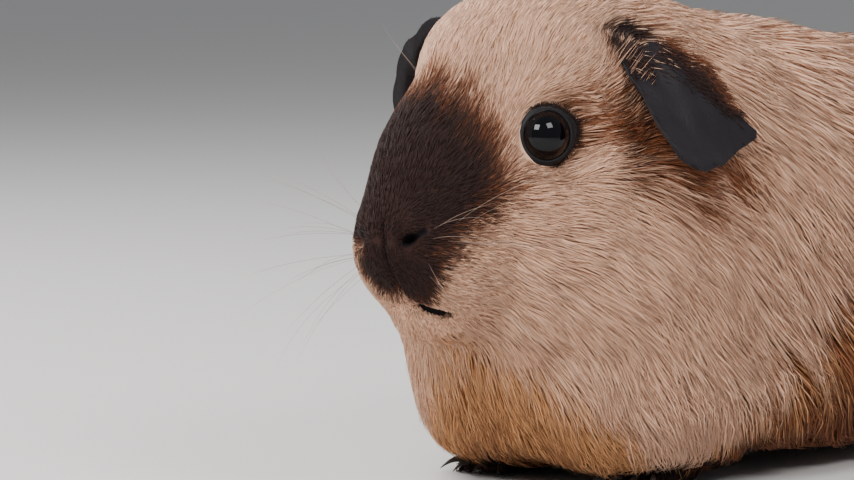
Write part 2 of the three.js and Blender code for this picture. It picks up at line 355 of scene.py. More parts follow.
HEAD_STROKES = (
    Stroke("nose, top", (32.0, 2.7, -13.0), (-0.26, 0.17, 0.95), 2.0, 0.35, 0.17, 10.0),
    Stroke("nose, under the nostril", (31.0, 4.0, -21.5), (-0.1, 0.45, -0.85), 1.8, 0.3, 0.16, 11.0),
    Stroke("upper lip", (28.0, 5.0, -27.0), (-0.35, 0.35, -0.85), 2.4, 0.4, 0.16, 10.0),
    Stroke("nose, side", (30.0, 7.8, -15.6), (-0.68, 0.66, 0.3), 2.4, 0.4, 0.18, 10.0),
    Stroke("muzzle, side", (26.0, 10.5, -20.0), (-0.86, 0.5, -0.1), 3.2, 0.5, 0.18, 7.5),
    Stroke("bridge, low", (30.0, 3.3, -7.0), (-0.35, 0.14, 0.92), 2.6, 0.45, 0.18, 8.0),
    Stroke("bridge, middle", (27.0, 2.5, 0.0), (-0.5, 0.05, 0.86), 3.4, 0.55, 0.18, 7.5),
    Stroke("bridge, high", (24.2, 2.6, 5.1), (-0.61, -0.02, 0.78), 4.2, 0.7, 0.19, 7.0),
    Stroke("muzzle, high", (20.7, 11.5, -7.1), (-0.75, 0.22, 0.62), 3.8, 0.6, 0.19, 7.0),
    Stroke("muzzle, middle", (25.0, 9.5, -12.0), (-0.78, 0.42, 0.4), 3.2, 0.5, 0.18, 7.5),
    Stroke("forehead, middle", (17.5, 1.4, 13.7), (-0.72, 0.0, 0.69), 6.0, 1.1, 0.2, 6.0),
    Stroke("before the eye", (14.2, 11.6, 5.0), (-0.36, 0.09, 0.93), 4.2, 0.6, 0.19, 7.0),
    Stroke("before the eye, low", (15.0, 12.6, -3.0), (-0.6, 0.25, 0.72), 3.6, 0.55, 0.19, 7.0),
    Stroke("forehead, side", (14.1, 8.0, 13.8), (-0.59, -0.04, 0.8), 5.8, 1.0, 0.2, 6.0),
    Stroke("over the eye", (7.2, 13.8, 13.8), (-0.67, 0.08, 0.73), 6.5, 1.1, 0.21, 6.0),
    Stroke("brow", (4.7, 15.2, 8.5), (-0.76, 0.15, 0.62), 4.6, 0.7, 0.19, 7.0),
    Stroke("behind the eye", (-5.0, 17.6, 3.5), (-0.94, 0.2, 0.25), 6.0, 1.0, 0.2, 6.5),
    Stroke("temple", (-5.0, 20.0, -1.5), (-0.95, 0.3, 0.05), 8.0, 1.4, 0.22, 5.5),
    Stroke("before the ear", (-6.7, 21.0, 8.5), (-0.7, 0.14, 0.66), 7.0, 1.3, 0.2, 5.8),
    Stroke("ear root, front", (-8.2, 18.5, 14.0), (-0.62, 0.1, 0.78), 3.4, 0.6, 0.16, 8.0),
    Stroke("ear root, low", (-9.0, 22.0, 8.0), (-0.75, 0.2, 0.6), 3.6, 0.6, 0.16, 8.0),
    Stroke("under the eye", (8.2, 16.5, -6.5), (-0.92, 0.38, 0.12), 5.0, 0.8, 0.2, 6.5),
    Stroke("under the eye, behind", (-2.0, 20.0, -6.5), (-0.93, 0.35, -0.05), 8.5, 1.5, 0.22, 5.5),
    Stroke("cheek, front", (20.1, 13.2, -13.3), (-0.9, 0.41, 0.03), 4.2, 0.75, 0.19, 7.0),
    Stroke("cheek, low front", (20.9, 14.0, -21.2), (-0.87, 0.32, -0.36), 5.0, 0.9, 0.2, 6.5),
    Stroke("cheek, upper", (12.8, 18.0, -14.0), (-0.87, 0.42, -0.18), 8.0, 1.4, 0.21, 5.5),
    Stroke("cheek, middle", (12.0, 19.0, -22.0), (-0.8, 0.42, -0.45), 9.5, 1.7, 0.22, 5.0),
    Stroke("cheek, behind", (5.4, 24.1, -14.5), (-0.83, 0.42, -0.34), 12.0, 2.2, 0.24, 4.5),
    Stroke("cheek, far behind", (-5.6, 28.9, -14.0), (-0.8, 0.4, -0.44), 15.0, 3.2, 0.26, 4.0),
    Stroke("jowl", (-4.0, 30.0, -22.0), (-0.72, 0.3, -0.62), 16.0, 3.4, 0.27, 4.0),
    Stroke("jaw", (5.5, 24.2, -28.8), (-0.68, 0.36, -0.64), 13.0, 2.6, 0.25, 4.2),
    Stroke("jaw, low", (11.0, 15.5, -33.5), (-0.76, 0.25, -0.55), 9.0, 1.8, 0.22, 4.8),
    Stroke("lip corner", (20.0, 10.5, -29.5), (-0.88, 0.2, -0.42), 4.5, 0.7, 0.19, 7.0),
    Stroke("chin", (19.3, 5.5, -35.3), (-0.86, 0.1, -0.5), 4.5, 1.1, 0.2, 6.0),
    Stroke("throat", (9.0, 0.0, -39.0), (-0.8, 0.0, -0.6), 9.0, 2.6, 0.24, 3.5),
    Stroke("ruff", (-17.0, 33.5, -19.0), (-0.73, 0.26, -0.63), 18.0, 4.0, 0.3, 3.2),
    Stroke("ruff, low", (-16.0, 34.5, -33.3), (-0.59, 0.04, -0.8), 18.0, 4.4, 0.32, 2.8),
    Stroke("jowl, low", (-5.9, 28.8, -43.8), (-0.58, 0.09, -0.81), 16.0, 4.0, 0.3, 3.2),
    Stroke("chest, side", (3.0, 19.8, -43.7), (-0.6, 0.3, -0.72), 14.0, 3.6, 0.28, 3.4),
    Stroke("crown, side", (-8.8, 14.0, 22.5), (-0.97, -0.06, 0.2), 8.5, 1.8, 0.24, 4.2),
    Stroke("crown, middle", (-2.0, 0.0, 27.5), (-0.95, 0.0, 0.25), 8.0, 1.6, 0.24, 4.2),
    Stroke("nape", (-30.0, 0.0, 26.0), (-1.0, 0.0, -0.1), 14.0, 3.2, 0.34, 2.0),
    Stroke("over the ear", (-22.0, 19.0, 20.0), (-0.95, 0.15, -0.25), 9.0, 2.0, 0.26, 3.8),
    Stroke("behind the ear", (-38.0, 24.0, 12.0), (-0.8, 0.25, -0.5), 16.0, 4.0, 0.34, 2.2),
    Stroke("under the ear tip", (-37.0, 33.0, -8.0), (-0.72, 0.15, -0.68), 17.0, 4.0, 0.32, 2.6),
    Stroke("under the ear", (-20.0, 28.5, -3.0), (-0.85, 0.35, -0.35), 8.0, 1.3, 0.24, 4.5),
)
BODY_STROKES = (
    Stroke("neck, side", (46.4, 34.4, 52.9), (-0.5, 0.1, -0.85), 19.0, 5.0, 0.42, 1.4),
    Stroke("neck, low", (39.6, 34.5, 33.8), (-0.52, 0.0, -0.85), 19.0, 5.0, 0.45, 1.2),
    Stroke("withers", (30.0, 0.0, 90.0), (-1.0, 0.0, 0.0), 18.0, 4.5, 0.54, 0.85),
    Stroke("shoulder, high", (26.7, 25.7, 77.8), (-0.7, 0.4, -0.55), 20.0, 5.0, 0.54, 0.85),
    Stroke("ribs", (10.0, 38.0, 50.0), (-0.75, 0.05, -0.6), 21.0, 5.5, 0.6, 0.7),
    Stroke("loins, top", (-30.0, 0.0, 80.0), (-1.0, 0.0, -0.05), 20.0, 5.0, 0.62, 0.65),
    Stroke("loins, side", (-30.0, 41.0, 50.0), (-0.85, 0.0, -0.5), 22.0, 6.0, 0.66, 0.6),
    Stroke("rump, top", (-85.0, 0.0, 72.0), (-0.85, 0.0, -0.5), 20.0, 5.0, 0.62, 0.65),
    Stroke("rump, side", (-85.0, 34.0, 45.0), (-0.7, 0.05, -0.7), 20.0, 5.5, 0.66, 0.6),
    Stroke("rump, end", (-115.0, 0.0, 42.0), (-0.2, 0.0, -0.95), 18.0, 5.0, 0.62, 0.65),
    Stroke("rump, low", (-100.0, 14.0, 14.0), (-0.1, 0.0, -1.0), 13.0, 3.5, 0.56, 0.65),
    Stroke("flank, low", (20.0, 38.0, 18.0), (-0.62, 0.0, -0.78), 17.0, 4.5, 0.55, 0.75),
    Stroke("flank, low behind", (-22.0, 41.0, 18.0), (-0.68, 0.0, -0.73), 18.0, 5.0, 0.6, 0.65),
    Stroke("haunch", (-62.0, 43.0, 30.0), (-0.65, 0.0, -0.75), 19.0, 5.0, 0.62, 0.65),
    Stroke("belly", (10.0, 8.0, 4.0), (-1.0, 0.0, 0.0), 11.0, 1.6, 0.6, 0.4),
    Stroke("belly, side", (10.0, 26.0, 4.0), (-0.8, 0.3, -0.4), 13.0, 2.4, 0.55, 0.7),
    Stroke("belly, behind", (-50.0, 15.0, 8.0), (-1.0, 0.0, 0.0), 12.0, 2.0, 0.6, 0.4),
    Stroke("shoulder", (62.0, 31.0, 34.0), (-0.52, 0.08, -0.85), 17.0, 4.2, 0.36, 2.0),
    Stroke("breast", (88.5, 0.0, 22.0), (-0.35, 0.0, -0.93), 11.0, 2.6, 0.3, 2.8),
    Stroke("breast, side", (83.0, 19.0, 20.0), (-0.45, 0.15, -0.88), 12.0, 3.0, 0.3, 2.8),
    Stroke("breast, edge", (70.0, 27.0, 9.0), (-0.5, 0.05, -0.87), 7.0, 1.8, 0.3, 2.6),
    Stroke("shoulder, edge", (46.0, 31.0, 9.0), (-0.62, 0.0, -0.78), 8.0, 2.2, 0.36, 1.8),
    Stroke("breast, low", (74.0, 8.0, 5.0), (-0.9, 0.0, -0.3), 8.0, 1.4, 0.36, 1.1),
    Stroke("foreleg", (55.0, 17.0, 14.0), (0.2, 0.0, -1.0), 6.0, 1.2, 0.28, 1.5),
    Stroke("hind leg", (-70.0, 33.0, 14.0), (0.1, 0.0, -1.0), 8.0, 1.6, 0.34, 1.1),
    Stroke("forefoot", (60.0, 17.0, 7.0), (0.85, 0.0, -0.5), 2.8, 0.45, 0.22, 2.4),
    Stroke("fore toes", (68.0, 17.0, 3.5), (1.0, 0.0, -0.15), 2.2, 0.3, 0.2, 3.2),
    Stroke("hind foot", (-60.0, 31.0, 7.0), (1.0, 0.0, -0.2), 3.4, 0.5, 0.26, 1.8),
    Stroke("hind toes", (-43.0, 32.0, 3.5), (1.0, 0.0, -0.1), 2.4, 0.3, 0.2, 2.6),
)


@dataclass
class Reading:
    """What the comb says at each of many places."""

    lie: Array
    length: Array
    depth: Array
    width: Array
    count: Array


class Comb:
    """All the strokes of the comb, blended by how near they are and how alike they face."""

    REACH = 2.5  # strokes nearer than this blend evenly
    AT_ONCE = 20000  # how many points are read at once

    def __init__(self, surface: Surface) -> None:
        """Lays the strokes of both sides on a surface.

        Args:
            surface: the surface that the strokes are laid on.
        """
        places, lies, sizes = [], [], []
        for strokes, on_head in ((HEAD_STROKES, True), (BODY_STROKES, False)):
            for stroke in strokes:
                for side in Side:
                    if side is Side.RIGHT and stroke.place[1] == 0:
                        continue
                    flip = np.array([1, side.value, 1])
                    place, lie = np.array(stroke.place) * flip, np.array(stroke.lie) * flip
                    places.append(from_head(place) if on_head else place)
                    lies.append(lie @ HEAD_AXES if on_head else lie)
                    sizes.append([stroke.length, stroke.depth, stroke.width, stroke.count])
        self.places, self.normals = surface.nearest(np.array(places))
        self.lies, self.sizes = unit(np.array(lies)), np.array(sizes)

    def read(self, points: Array, normals: Array) -> Reading:
        """What the comb says at points on the skin.

        Args:
            points: the places, one to a row.
            normals: the skin's normals there.

        Returns:
            The lie along the skin, and the sizes and number of tufts.
        """
        parts = []
        for start in range(0, len(points), self.AT_ONCE):
            chunk = slice(start, start + self.AT_ONCE)
            p, n = points[chunk], normals[chunk]
            apart = np.square(p[:, None] - self.places[None]).sum(2) + self.REACH**2
            facing = 0.05 + np.clip(n @ self.normals.T, 0, 1)
            weight = np.square(facing / apart)
            weight /= weight.sum(1, keepdims=True)
            parts.append(np.hstack([weight @ self.lies, weight @ self.sizes]))
        read = np.vstack(parts)
        lie = read[:, :3] - normals * np.einsum("ij,ij->i", read[:, :3], normals)[:, None]
        return Reading(unit(lie), *(read[:, i] for i in range(3, 7)))


# ---- Markings shared by skin and coat ----


@dataclass(frozen=True)
class Markings:
    """Where the coat is dark, rust or gold, with painted shade in some of the dark and rust.

    Each mask is above 0 inside its patch, in millimetres from its edge. An edge is a list of pairs.
    """

    # The rear edge of the dark muzzle: heights about the eyes, and how far forward of them it is there.
    muzzle_edge: tuple[Pair, ...] = (
        (-32.0, 28.0),
        (-29.5, 25.4),
        (-27.0, 26.0),
        (-24.6, 26.4),
        (-22.5, 25.4),
        (-17.0, 20.5),
        (-12.0, 16.3),
        (-7.0, 14.4),
        (-2.0, 14.1),
        (3.3, 15.8),
        (7.7, 18.3),
        (11.2, 20.3),
        (14.0, 26.0),
    )
    # The top edge of the dark muzzle, from the animal's right to its left, and its height there.
    muzzle_top: tuple[Pair, ...] = ((-9.0, 5.8), (-4.0, 6.9), (0.0, 9.3), (4.0, 11.0), (8.0, 14.0))
    philtrum: tuple[Point, ...] = ((33.0, 0.9, -15.0), (32.0, 0.9, -21.5), (25.8, 1.2, -29.6))
    nostril: Point = (31.2, 6.0, -17.4)
    # The line under each ear: a ginger patch that also carries painted shade under the ear flap.
    rust_line: tuple[Point, ...] = (
        (-0.5, 19.0, 1.6),
        (-4.0, 20.5, 1.6),
        (-8.0, 24.0, -1.8),
        (-15.5, 29.3, -4.8),
        (-26.0, 32.5, -4.4),
    )
    # The front edge of each ear: the thin dark line along it is painted shadow in the gap by the face fur,
    # and the rust round it is partly painted shade.
    ear_front: tuple[Point, ...] = ((-8.0, 20.0, 15.0), (-11.5, 23.0, 8.0), (-16.0, 27.0, -1.0))
    ear_root: tuple[Point, ...] = (
        (-14.0, 19.0, 18.0),
        (-9.4, 17.4, 16.5),
        (-9.2, 20.0, 11.5),
        (-13.0, 21.5, 13.5),
    )
    ear_rear: tuple[Point, ...] = ((-17.0, 18.0, 19.5), (-27.0, 25.0, 13.0), (-34.0, 30.0, 2.0))
    # The top edge of the gold breast: how far from the middle, and its height there.
    breast_edge: tuple[Pair, ...] = (
        (0.0, 30.0),
        (5.0, 28.0),
        (10.0, 26.0),
        (15.0, 23.5),
        (20.0, 19.0),
        (22.5, 14.0),
        (25.0, 4.0),
    )
    foot_height: float = 8.5

    def muzzle(self, head: Array) -> Array:
        """The dark muzzle, which runs down to the right along its top edge, and a paler right lip.

        Args:
            head: head places, one to a row.

        Returns:
            The mask.
        """
        x, y, z = head.T
        edge = np.interp(z, *zip(*self.muzzle_edge))
        pale_lip = smooth_step(-y, -0.5, 7.0) * smooth_step(-z, 15.0, 22.0)
        crisp = 1 + 3.0 * smooth_step(-z, 19.0, 25.0)
        top = np.interp(y, *zip(*self.muzzle_top)) - z
        return np.minimum((x - edge) * crisp - 8.0 * pale_lip, 1.3 * top)

    def small_dark(self, points: Array) -> Array:
        """The nostrils, the philtrum, a thin painted shadow along the front edge of each ear, the fur on the
        ear's root, and the feet.

        Args:
            points: places in the row frame.

        Returns:
            The mask.
        """
        head = to_head(points)
        mirrored = to_left(head)
        strip = 1.1 - line_distance(head, list(self.philtrum))
        off = (mirrored - self.nostril) * [1, 1, 1.25]
        nose = np.where(head[:, 1] > 0, 3.4, 2.4) - np.linalg.norm(off, axis=1)
        # Painted shadow: a thin dark line in the gap between the ear's front edge and the face fur.
        front = 0.8 - line_distance(mirrored, list(self.ear_front))
        root = 2.7 - line_distance(mirrored, list(self.ear_root))
        legs = np.abs(np.abs(points[:, 1]) - 24.5) < 15
        fore = np.abs(points[:, 0] - FOREFEET) < 18
        hind = np.abs(points[:, 0] - HINDFEET) < 30
        feet = np.where(legs & (fore | hind), self.foot_height - points[:, 2], -20.0)
        return np.maximum.reduce([strip, nose, front, root, feet])

    def rust(self, points: Array) -> Array:
        """The patches before, below and behind each ear, and a border of the muzzle; those before and below
        the ear are partly ginger and partly painted shade under the ear flap.

        Args:
            points: places in the row frame.

        Returns:
            The mask.
        """
        head = to_head(points)
        mirrored = to_left(head)
        # Before and under the ear the rust is partly ginger, partly painted shade under the ear flap.
        under = 5.6 - line_distance(mirrored, list(self.rust_line))
        front = 3.0 - line_distance(mirrored, list(self.ear_front))
        rear = 1.0 - line_distance(mirrored, list(self.ear_rear))
        border = self.muzzle(head) + 1.2 - 2.6 * smooth_step(-head[:, 2], 10.0, 19.0)
        return np.maximum.reduce([under, front, rear, border])

    def gold(self, points: Array) -> Array:
        """The breast below the jowls, the belly and the low flanks.

        Args:
            points: places in the row frame.

        Returns:
            The mask.
        """
        x, y, z = points.T
        breast = np.interp(np.abs(y), *zip(*self.breast_edge)) - z
        flank = np.minimum(24.0 + 0.62 * (55.6 - x), 40.0) - z
        return np.where(x > 60, breast, np.maximum(flank, np.where(x > 50, breast, -30)))

    def marks(self, points: Array, chance: Array, spread: float) -> dict[str, Array]:
        """The masks as shares from 0 to 1.

        Args:
            points: the places, one to a row.
            chance: a number from 0 to 1 for each place, which moves a patch's edge for that tuft.
            spread: how far, in millimetres, chance moves an edge.

        Returns:
            The dark, rust and gold shares.
        """
        drift = 1.1 * ripple(points, 5.0, 3) + 0.9 * ripple(points, 15.0, 4) + spread * (chance - 0.5)
        gold = self.gold(points) + drift
        return {
            "dark": np.maximum(
                smooth_step(self.muzzle(to_head(points)) + drift, -1.0, 6.5),
                smooth_step(self.small_dark(points) + 0.3 * drift, -0.8, 0.8),
            ),
            "rust": np.maximum.reduce([
                smooth_step(self.rust(points) + drift, -2.5, 2.5),
                # The low breast and flanks turn rust, darker towards the floor: partly the coat's own
                # colour, partly painted shade under the belly.
                smooth_step(gold + 2 * drift, 6.0, 16.0) * np.where(points[:, 0] > 58, 0.6, 0.0),
                0.95 * smooth_step(gold + 2 * drift, -2.0, 6.0) * (points[:, 0] <= 58),
            ]),
            "gold": smooth_step(gold, -2.5, 3.5),
        }


MARKINGS = Markings()


# ---- Finishes ----


class Palette(Enum):
    """Base colours of the animal, as linear red, green and blue."""

    CREAM_ROOT = (0.6, 0.335, 0.205)
    CREAM_TIP = (0.88, 0.555, 0.39)
    # Dark is the smut's own colour, and also paints a thin shadow along each ear's front edge.
    DARK_ROOT = (0.009, 0.0045, 0.004)
    DARK_TIP = (0.046, 0.021, 0.017)
    # Rust is the coat's ginger, and also paints shade round the ears and low on the breast and flanks.
    RUST_ROOT = (0.11, 0.034, 0.014)
    RUST_TIP = (0.31, 0.105, 0.044)
    GOLD_ROOT = (0.42, 0.16, 0.055)
    GOLD_TIP = (0.82, 0.44, 0.2)
    NOSE = (0.012, 0.009, 0.011)
    EAR = (0.0115, 0.009, 0.0115)
    LID = (0.009, 0.0075, 0.0085)
    PUPIL = (0.002, 0.002, 0.003)
    IRIS = (0.008, 0.006, 0.006)
    HORN = (0.05, 0.038, 0.032)
    WHISKER = (0.3, 0.2, 0.15)
    FLOOR = (0.7, 0.68, 0.66)
    SKY = (0.85, 0.88, 0.92)

    @property
    def rgba(self) -> tuple[float, float, float, float]:
        """The colour with a full alpha."""
        return (*self.value, 1.0)


class Nodes:
    """A node tree that is built with short calls."""

    def __init__(self, tree: bpy.types.NodeTree) -> None:
        """Starts on a tree."""
        self.tree = tree

    def add(self, kind: str, **settings: object) -> bpy.types.Node:
        """Adds a node of a kind and sets its plain properties.

        Args:
            kind: the node's type.
            settings: its properties by name.

        Returns:
            The node.
        """
        node = self.tree.nodes.new(kind)
        for name, value in settings.items():
            setattr(node, name, value)
        return node

    def join(self, source: bpy.types.NodeSocket, target: bpy.types.NodeSocket) -> None:
        """Links one socket to another."""
        self.tree.links.new(source, target)

    def mix(
        self, share: bpy.types.NodeSocket, first: object, second: object
    ) -> bpy.types.NodeSocket:
        """Mixes two colours, each a socket or a palette entry.

        Args:
            share: the socket with the second colour's share.
            first: the colour at share 0.
            second: the colour at share 1.

        Returns:
            The mixed colour's socket.
        """
        node = self.add("ShaderNodeMix", data_type="RGBA")
        self.join(share, node.inputs[0])
        for socket, colour in ((node.inputs[6], first), (node.inputs[7], second)):
            if isinstance(colour, Palette):
                socket.default_value = colour.rgba
            else:
                self.join(colour, socket)
        return node.outputs[2]

    def mark(self, name: str) -> bpy.types.NodeSocket:
        """Reads a named number from the mesh."""
        return self.add("ShaderNodeAttribute", attribute_name=name).outputs["Fac"]


def coat_colour_group() -> bpy.types.NodeTree:
    """The group that turns the markings into a colour, shared by the skin and the coat.

    Returns:
        The group, which puts out the colour.
    """
    group = bpy.data.node_groups.new("coat colour", "ShaderNodeTree")
    for name in ("Dark", "Rust", "Gold", "Along", "Chance"):
        group.interface.new_socket(name, in_out="INPUT", socket_type="NodeSocketFloat")
    group.interface.new_socket("Colour", in_out="OUTPUT", socket_type="NodeSocketColor")
    nodes = Nodes(group)
    given = nodes.add("NodeGroupInput")
    along = given.outputs["Along"]
    cream = nodes.mix(along, Palette.CREAM_ROOT, Palette.CREAM_TIP)
    gold = nodes.mix(along, Palette.GOLD_ROOT, Palette.GOLD_TIP)
    rust = nodes.mix(along, Palette.RUST_ROOT, Palette.RUST_TIP)
    dark = nodes.mix(along, Palette.DARK_ROOT, Palette.DARK_TIP)
    colour = nodes.mix(given.outputs["Gold"], cream, gold)
    colour = nodes.mix(given.outputs["Rust"], colour, rust)
    colour = nodes.mix(given.outputs["Dark"], colour, dark)
    value = nodes.add("ShaderNodeMapRange")
    value.inputs["To Min"].default_value = 0.82
    value.inputs["To Max"].default_value = 1.14
    nodes.join(given.outputs["Chance"], value.inputs["Value"])
    shade = nodes.add("ShaderNodeHueSaturation")
    nodes.join(value.outputs["Result"], shade.inputs["Value"])
    nodes.join(colour, shade.inputs["Color"])
    nodes.join(shade.outputs["Color"], nodes.add("NodeGroupOutput").inputs["Colour"])
    return group


def grain_group() -> bpy.types.NodeTree:
    """The group that gives a fine grain for bumps, shared by the skin, ears, eyelids and claws.

    Returns:
        The group, which puts out a height.
    """
    group = bpy.data.node_groups.new("fine grain", "ShaderNodeTree")
    for name in ("Coarse Scale", "Fine Scale", "Fine Share"):
        group.interface.new_socket(name, in_out="INPUT", socket_type="NodeSocketFloat")
    group.interface.new_socket("Height", in_out="OUTPUT", socket_type="NodeSocketFloat")
    nodes = Nodes(group)
    given, place = nodes.add("NodeGroupInput"), nodes.add("ShaderNodeTexCoord")
    heights = []
    for name in ("Coarse Scale", "Fine Scale"):
        noise = nodes.add("ShaderNodeTexNoise")
        nodes.join(place.outputs["Object"], noise.inputs["Vector"])
        nodes.join(given.outputs[name], noise.inputs["Scale"])
        heights.append(noise.outputs["Fac"])
    blend = nodes.add("ShaderNodeMix", data_type="FLOAT")
    nodes.join(given.outputs["Fine Share"], blend.inputs[0])
    nodes.join(heights[0], blend.inputs[2])
    nodes.join(heights[1], blend.inputs[3])
    nodes.join(blend.outputs[0], nodes.add("NodeGroupOutput").inputs["Height"])
    return group


@dataclass(frozen=True)
class Finish:
    """A finish: a name, the shader's plain values and, if it has grain, its scales, share and height."""

    name: str
    colour: Palette
    roughness: float
    specular: float = 0.5
    sheen: float = 0.0
    sheen_roughness: float = 0.5
    coat: float = 0.0
    coat_roughness: float = 0.03
    coat_ior: float = 1.5
    grain: tuple[float, float, float, float] = (0.0, 0.0, 0.0, 0.0)
    marked: bool = False

    def material(self, groups: dict[str, bpy.types.NodeTree]) -> bpy.types.Material:
        """Builds the material.

        Args:
            groups: the shared node groups by name.

        Returns:
            The material.
        """
        material = bpy.data.materials.new(self.name)
        material.use_nodes = True
        nodes = Nodes(material.node_tree)
        shader = material.node_tree.nodes["Principled BSDF"]
        shader.inputs["Base Color"].default_value = self.colour.rgba
        shader.inputs["Roughness"].default_value = self.roughness
        shader.inputs["Specular IOR Level"].default_value = self.specular
        shader.inputs["Sheen Weight"].default_value = self.sheen
        shader.inputs["Sheen Roughness"].default_value = self.sheen_roughness
        shader.inputs["Coat Weight"].default_value = self.coat
        shader.inputs["Coat Roughness"].default_value = self.coat_roughness
        shader.inputs["Coat IOR"].default_value = self.coat_ior
        if self.marked:
            self.mark(nodes, shader, groups["coat colour"])
        if self.grain[3]:
            self.roughen(nodes, shader, groups["fine grain"])
        return material

    def mark(self, nodes: Nodes, shader: bpy.types.Node, group: bpy.types.NodeTree) -> None:
        """Lets the markings give the colour, and bare skin where the mesh says so.

        Args:
            nodes: the material's nodes.
            shader: its shader.
            group: the group that gives the colour.
        """
        colour = nodes.add("ShaderNodeGroup", node_tree=group)
        for name in ("Dark", "Rust", "Gold", "Along", "Chance"):
            nodes.join(nodes.mark(name.lower()), colour.inputs[name])
        bare = nodes.mix(nodes.mark("bare"), colour.outputs["Colour"], self.colour)
        nodes.join(bare, shader.inputs["Base Color"])

    def roughen(self, nodes: Nodes, shader: bpy.types.Node, group: bpy.types.NodeTree) -> None:
        """Puts the grain on the surface as a bump.

        Args:
            nodes: the material's nodes.
            shader: its shader.
            group: the group that gives the grain.
        """
        coarse, fine, share, height = self.grain
        grain = nodes.add("ShaderNodeGroup", node_tree=group)
        grain.inputs["Coarse Scale"].default_value = coarse
        grain.inputs["Fine Scale"].default_value = fine
        grain.inputs["Fine Share"].default_value = share
        relief = nodes.add("ShaderNodeBump")
        relief.inputs["Strength"].default_value = 0.6
        relief.inputs["Distance"].default_value = height * MM
        nodes.join(grain.outputs["Height"], relief.inputs["Height"])
        nodes.join(relief.outputs["Normal"], shader.inputs["Normal"])


class Wardrobe:
    """Every material of the animal, made once."""

    def __init__(self) -> None:
        """Makes the shared groups and the materials."""
        groups = {"coat colour": coat_colour_group(), "fine grain": grain_group()}
        finishes = {
            "coat": Finish("coat", Palette.NOSE, 0.6, 0.13, 0.03, 0.5, marked=True),
            "skin": Finish("skin", Palette.NOSE, 0.7, 0.1, grain=(900, 3200, 0.5, 0.3), marked=True),
            "ear": Finish("ear skin", Palette.EAR, 0.6, 0.24, 0.02, 0.4, grain=(240, 1500, 0.4, 0.55)),
            "lid": Finish("eyelid skin", Palette.LID, 0.5, 0.3, grain=(1400, 4200, 0.5, 0.2)),
            "iris": Finish("iris", Palette.IRIS, 0.3, 0.0, coat=1.0, coat_roughness=0.015, coat_ior=1.32),
            "pupil": Finish("pupil", Palette.PUPIL, 0.3, 0.0, coat=1.0, coat_roughness=0.015, coat_ior=1.32),
            "claw": Finish("claw horn", Palette.HORN, 0.38, 0.5, grain=(500, 2500, 0.5, 0.08)),
            "whisker": Finish("whisker", Palette.WHISKER, 0.45, 0.4),
        }
        self.materials = {name: finish.material(groups) for name, finish in finishes.items()}

    def dress(self, piece: bpy.types.Object, *names: str) -> None:
        """Gives a piece its materials in slot order."""
        for name in names:
            piece.data.materials.append(self.materials[name])


def place_piece(piece: bpy.types.Object, slot: str, *nodes: str) -> None:
    """Puts a finished piece on the body, in place of CAD nodes.

    Args:
        piece: the piece.
        slot: not used.
        nodes: the CAD nodes it stands for.
    """
    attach(piece, "root")
    if nodes:
        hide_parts(*nodes)
    piece.data.calc_loop_triangles()
    log.info("%s: %d triangles", piece.name, len(piece.data.loop_triangles))


# ---- Ears and eyelids, which join the skin ----


